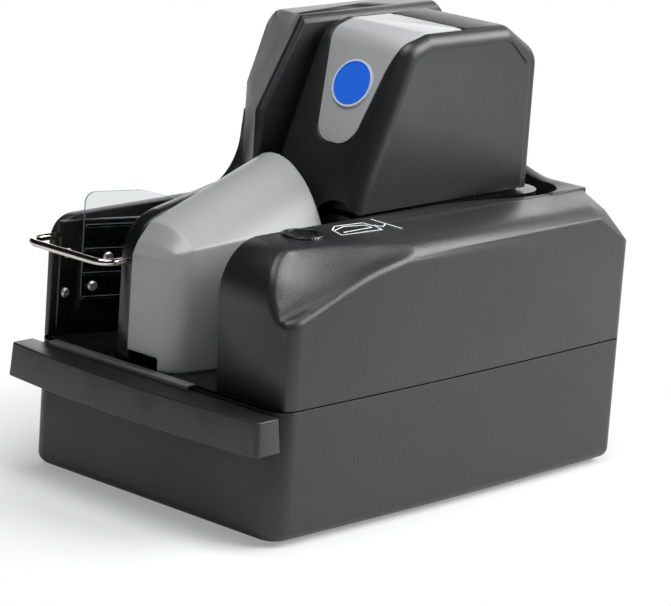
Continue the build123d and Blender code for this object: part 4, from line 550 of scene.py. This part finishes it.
# satin ABS: as the door, a shade darker and smoother, its texture drawn 0.5 mm coarse
guide_abs, tree, shader = new_material("light grey ABS, satin tool")
spots = grain(tree, 0.5, 3.0)
tone = add_node(tree, "ValToRGB", [("Fac", spots)],
                [(0.3, linear("#9b9c9b")), (0.72, linear("#a6a7a6"))])
bump = add_node(tree, "Bump", [("Height", spots), ("Strength", 0.25), ("Distance", 0.00008)])
feed(tree, shader, [("Base Color", tone), ("Roughness", 0.36), ("Normal", bump), ("IOR", 1.52)])

# the hood's surface is made of even small faces and eased, so that no highlight breaks on it
SKIN_FACE = 0.0007
hood = merged_copy("hopper_guide", "guide_hood")
bpy.ops.object.mode_set(mode="OBJECT")
skin = hood.modifiers.new("even skin", "REMESH")
skin.mode = "VOXEL"
skin.voxel_size = SKIN_FACE
bpy.ops.object.modifier_apply(modifier="even skin")
soft = hood.modifiers.new("polished tool", "SMOOTH")
soft.factor = 0.5
soft.iterations = 6
bpy.ops.object.modifier_apply(modifier="polished tool")
bpy.ops.object.shade_smooth()
install(hood, "hopper_guide", "body", guide_abs)

# ---- exit pocket ----
# The pocket is lined in polished black ABS: a wall that backs the guide, and a liner down its
# left side that carries a ribbed clear plate on socket-head steel screws.
softened("island_wall", "pocket_wall", "body", smooth_abs, radius_mm=0.5)
softened("pocket_liner", "pocket_lining", "body", smooth_abs, radius_mm=0.4)

# moulded polycarbonate: clear through its face with a faint haze in spots of 3 mm, and a
# frosted grey on its edges and the sides of its ribs, which outlines the plate
PLATE_FACING = (0.934, -0.358, 0.0)
EDGE_ROUGHNESS = 0.5
clear_pc, tree, shader = new_material("clear polycarbonate, moulded")
haze = add_node(tree, "MapRange", [("Value", grain(tree, 3.0, 4.0)), ("From Min", 0.35),
                                   ("From Max", 0.8), ("To Min", 0.03), ("To Max", 0.12)])
facing = add_node(tree, "NewGeometry").outputs["Normal"]
turned = add_node(tree, "VectorMath", [(0, facing), (1, PLATE_FACING)], operation="DOT_PRODUCT")
flat = add_node(tree, "Math", [(0, turned.outputs["Value"])], operation="ABSOLUTE")
open_face = add_node(tree, "MapRange", [("Value", flat), ("From Min", 0.9), ("From Max", 0.97)])
frost = add_node(tree, "Mix", [("Factor", open_face), ("A", EDGE_ROUGHNESS), ("B", haze)])
tone = add_node(tree, "ValToRGB", [("Fac", open_face)],
                [(0.0, linear("#8b8e90")), (1.0, linear("#f2f5f6"))])
feed(tree, shader, [("Base Color", tone), ("Roughness", frost),
                    ("Transmission Weight", open_face), ("IOR", 1.58)])
dress("pocket_plate", clear_pc)

# nickel plate: brighter than the zinc on the inner parts, and dulled in spots of 1.5 mm
nickel, tree, shader = new_material("steel, nickel plated")
rubs = grain(tree, 1.5, 3.0)
tone = add_node(tree, "ValToRGB", [("Fac", rubs)],
                [(0.3, linear("#d9d8d4")), (0.7, linear("#ecebe8"))])
dull = add_node(tree, "MapRange", [("Value", rubs), ("To Min", 0.35), ("To Max", 0.55)])
feed(tree, shader, [("Base Color", tone), ("Roughness", dull), ("Metallic", 1.0)])
dress("pocket_screws", nickel)

# ---- wire stop ----
# A 4 mm steel wire is bent into a U and chrome plated. Its legs slide in the pocket's walls to
# suit the length of the documents.

# chrome plate: bright and slightly warm, with dull specks of 1 mm where it is handled
chrome, tree, shader = new_material("steel wire, chrome plated")
specks = grain(tree, 1.0, 4.0)
tone = add_node(tree, "ValToRGB", [("Fac", specks)],
                [(0.3, linear("#cfcbc4")), (0.7, linear("#dedbd5"))])
dull = add_node(tree, "MapRange", [("Value", specks), ("From Min", 0.3), ("From Max", 0.8),
                                   ("To Min", 0.08), ("To Max", 0.22)])
feed(tree, shader, [("Base Color", tone), ("Roughness", dull), ("Metallic", 1.0)])
dress("wire_stop", chrome)

# ---- hopper flag ----
# A black ABS flag turns on a steel pin that stands on the deck. It swings out of the guide's
# right wall and presses the documents towards the pick roller.
dress("hopper_flag", smooth_abs)
dress("flag_pin", brushed_steel)

# ---- power button ----
# A dished round button moves in a raised ring let into the cover, both in smooth black ABS.
# Under it a tactile switch stands on a post.
softened("button_bezel", "button_ring", "body", smooth_abs, radius_mm=0.3)
softened("power_button", "button_cap", "button", smooth_abs, radius_mm=0.3)
dress("button_switch", black_nylon)
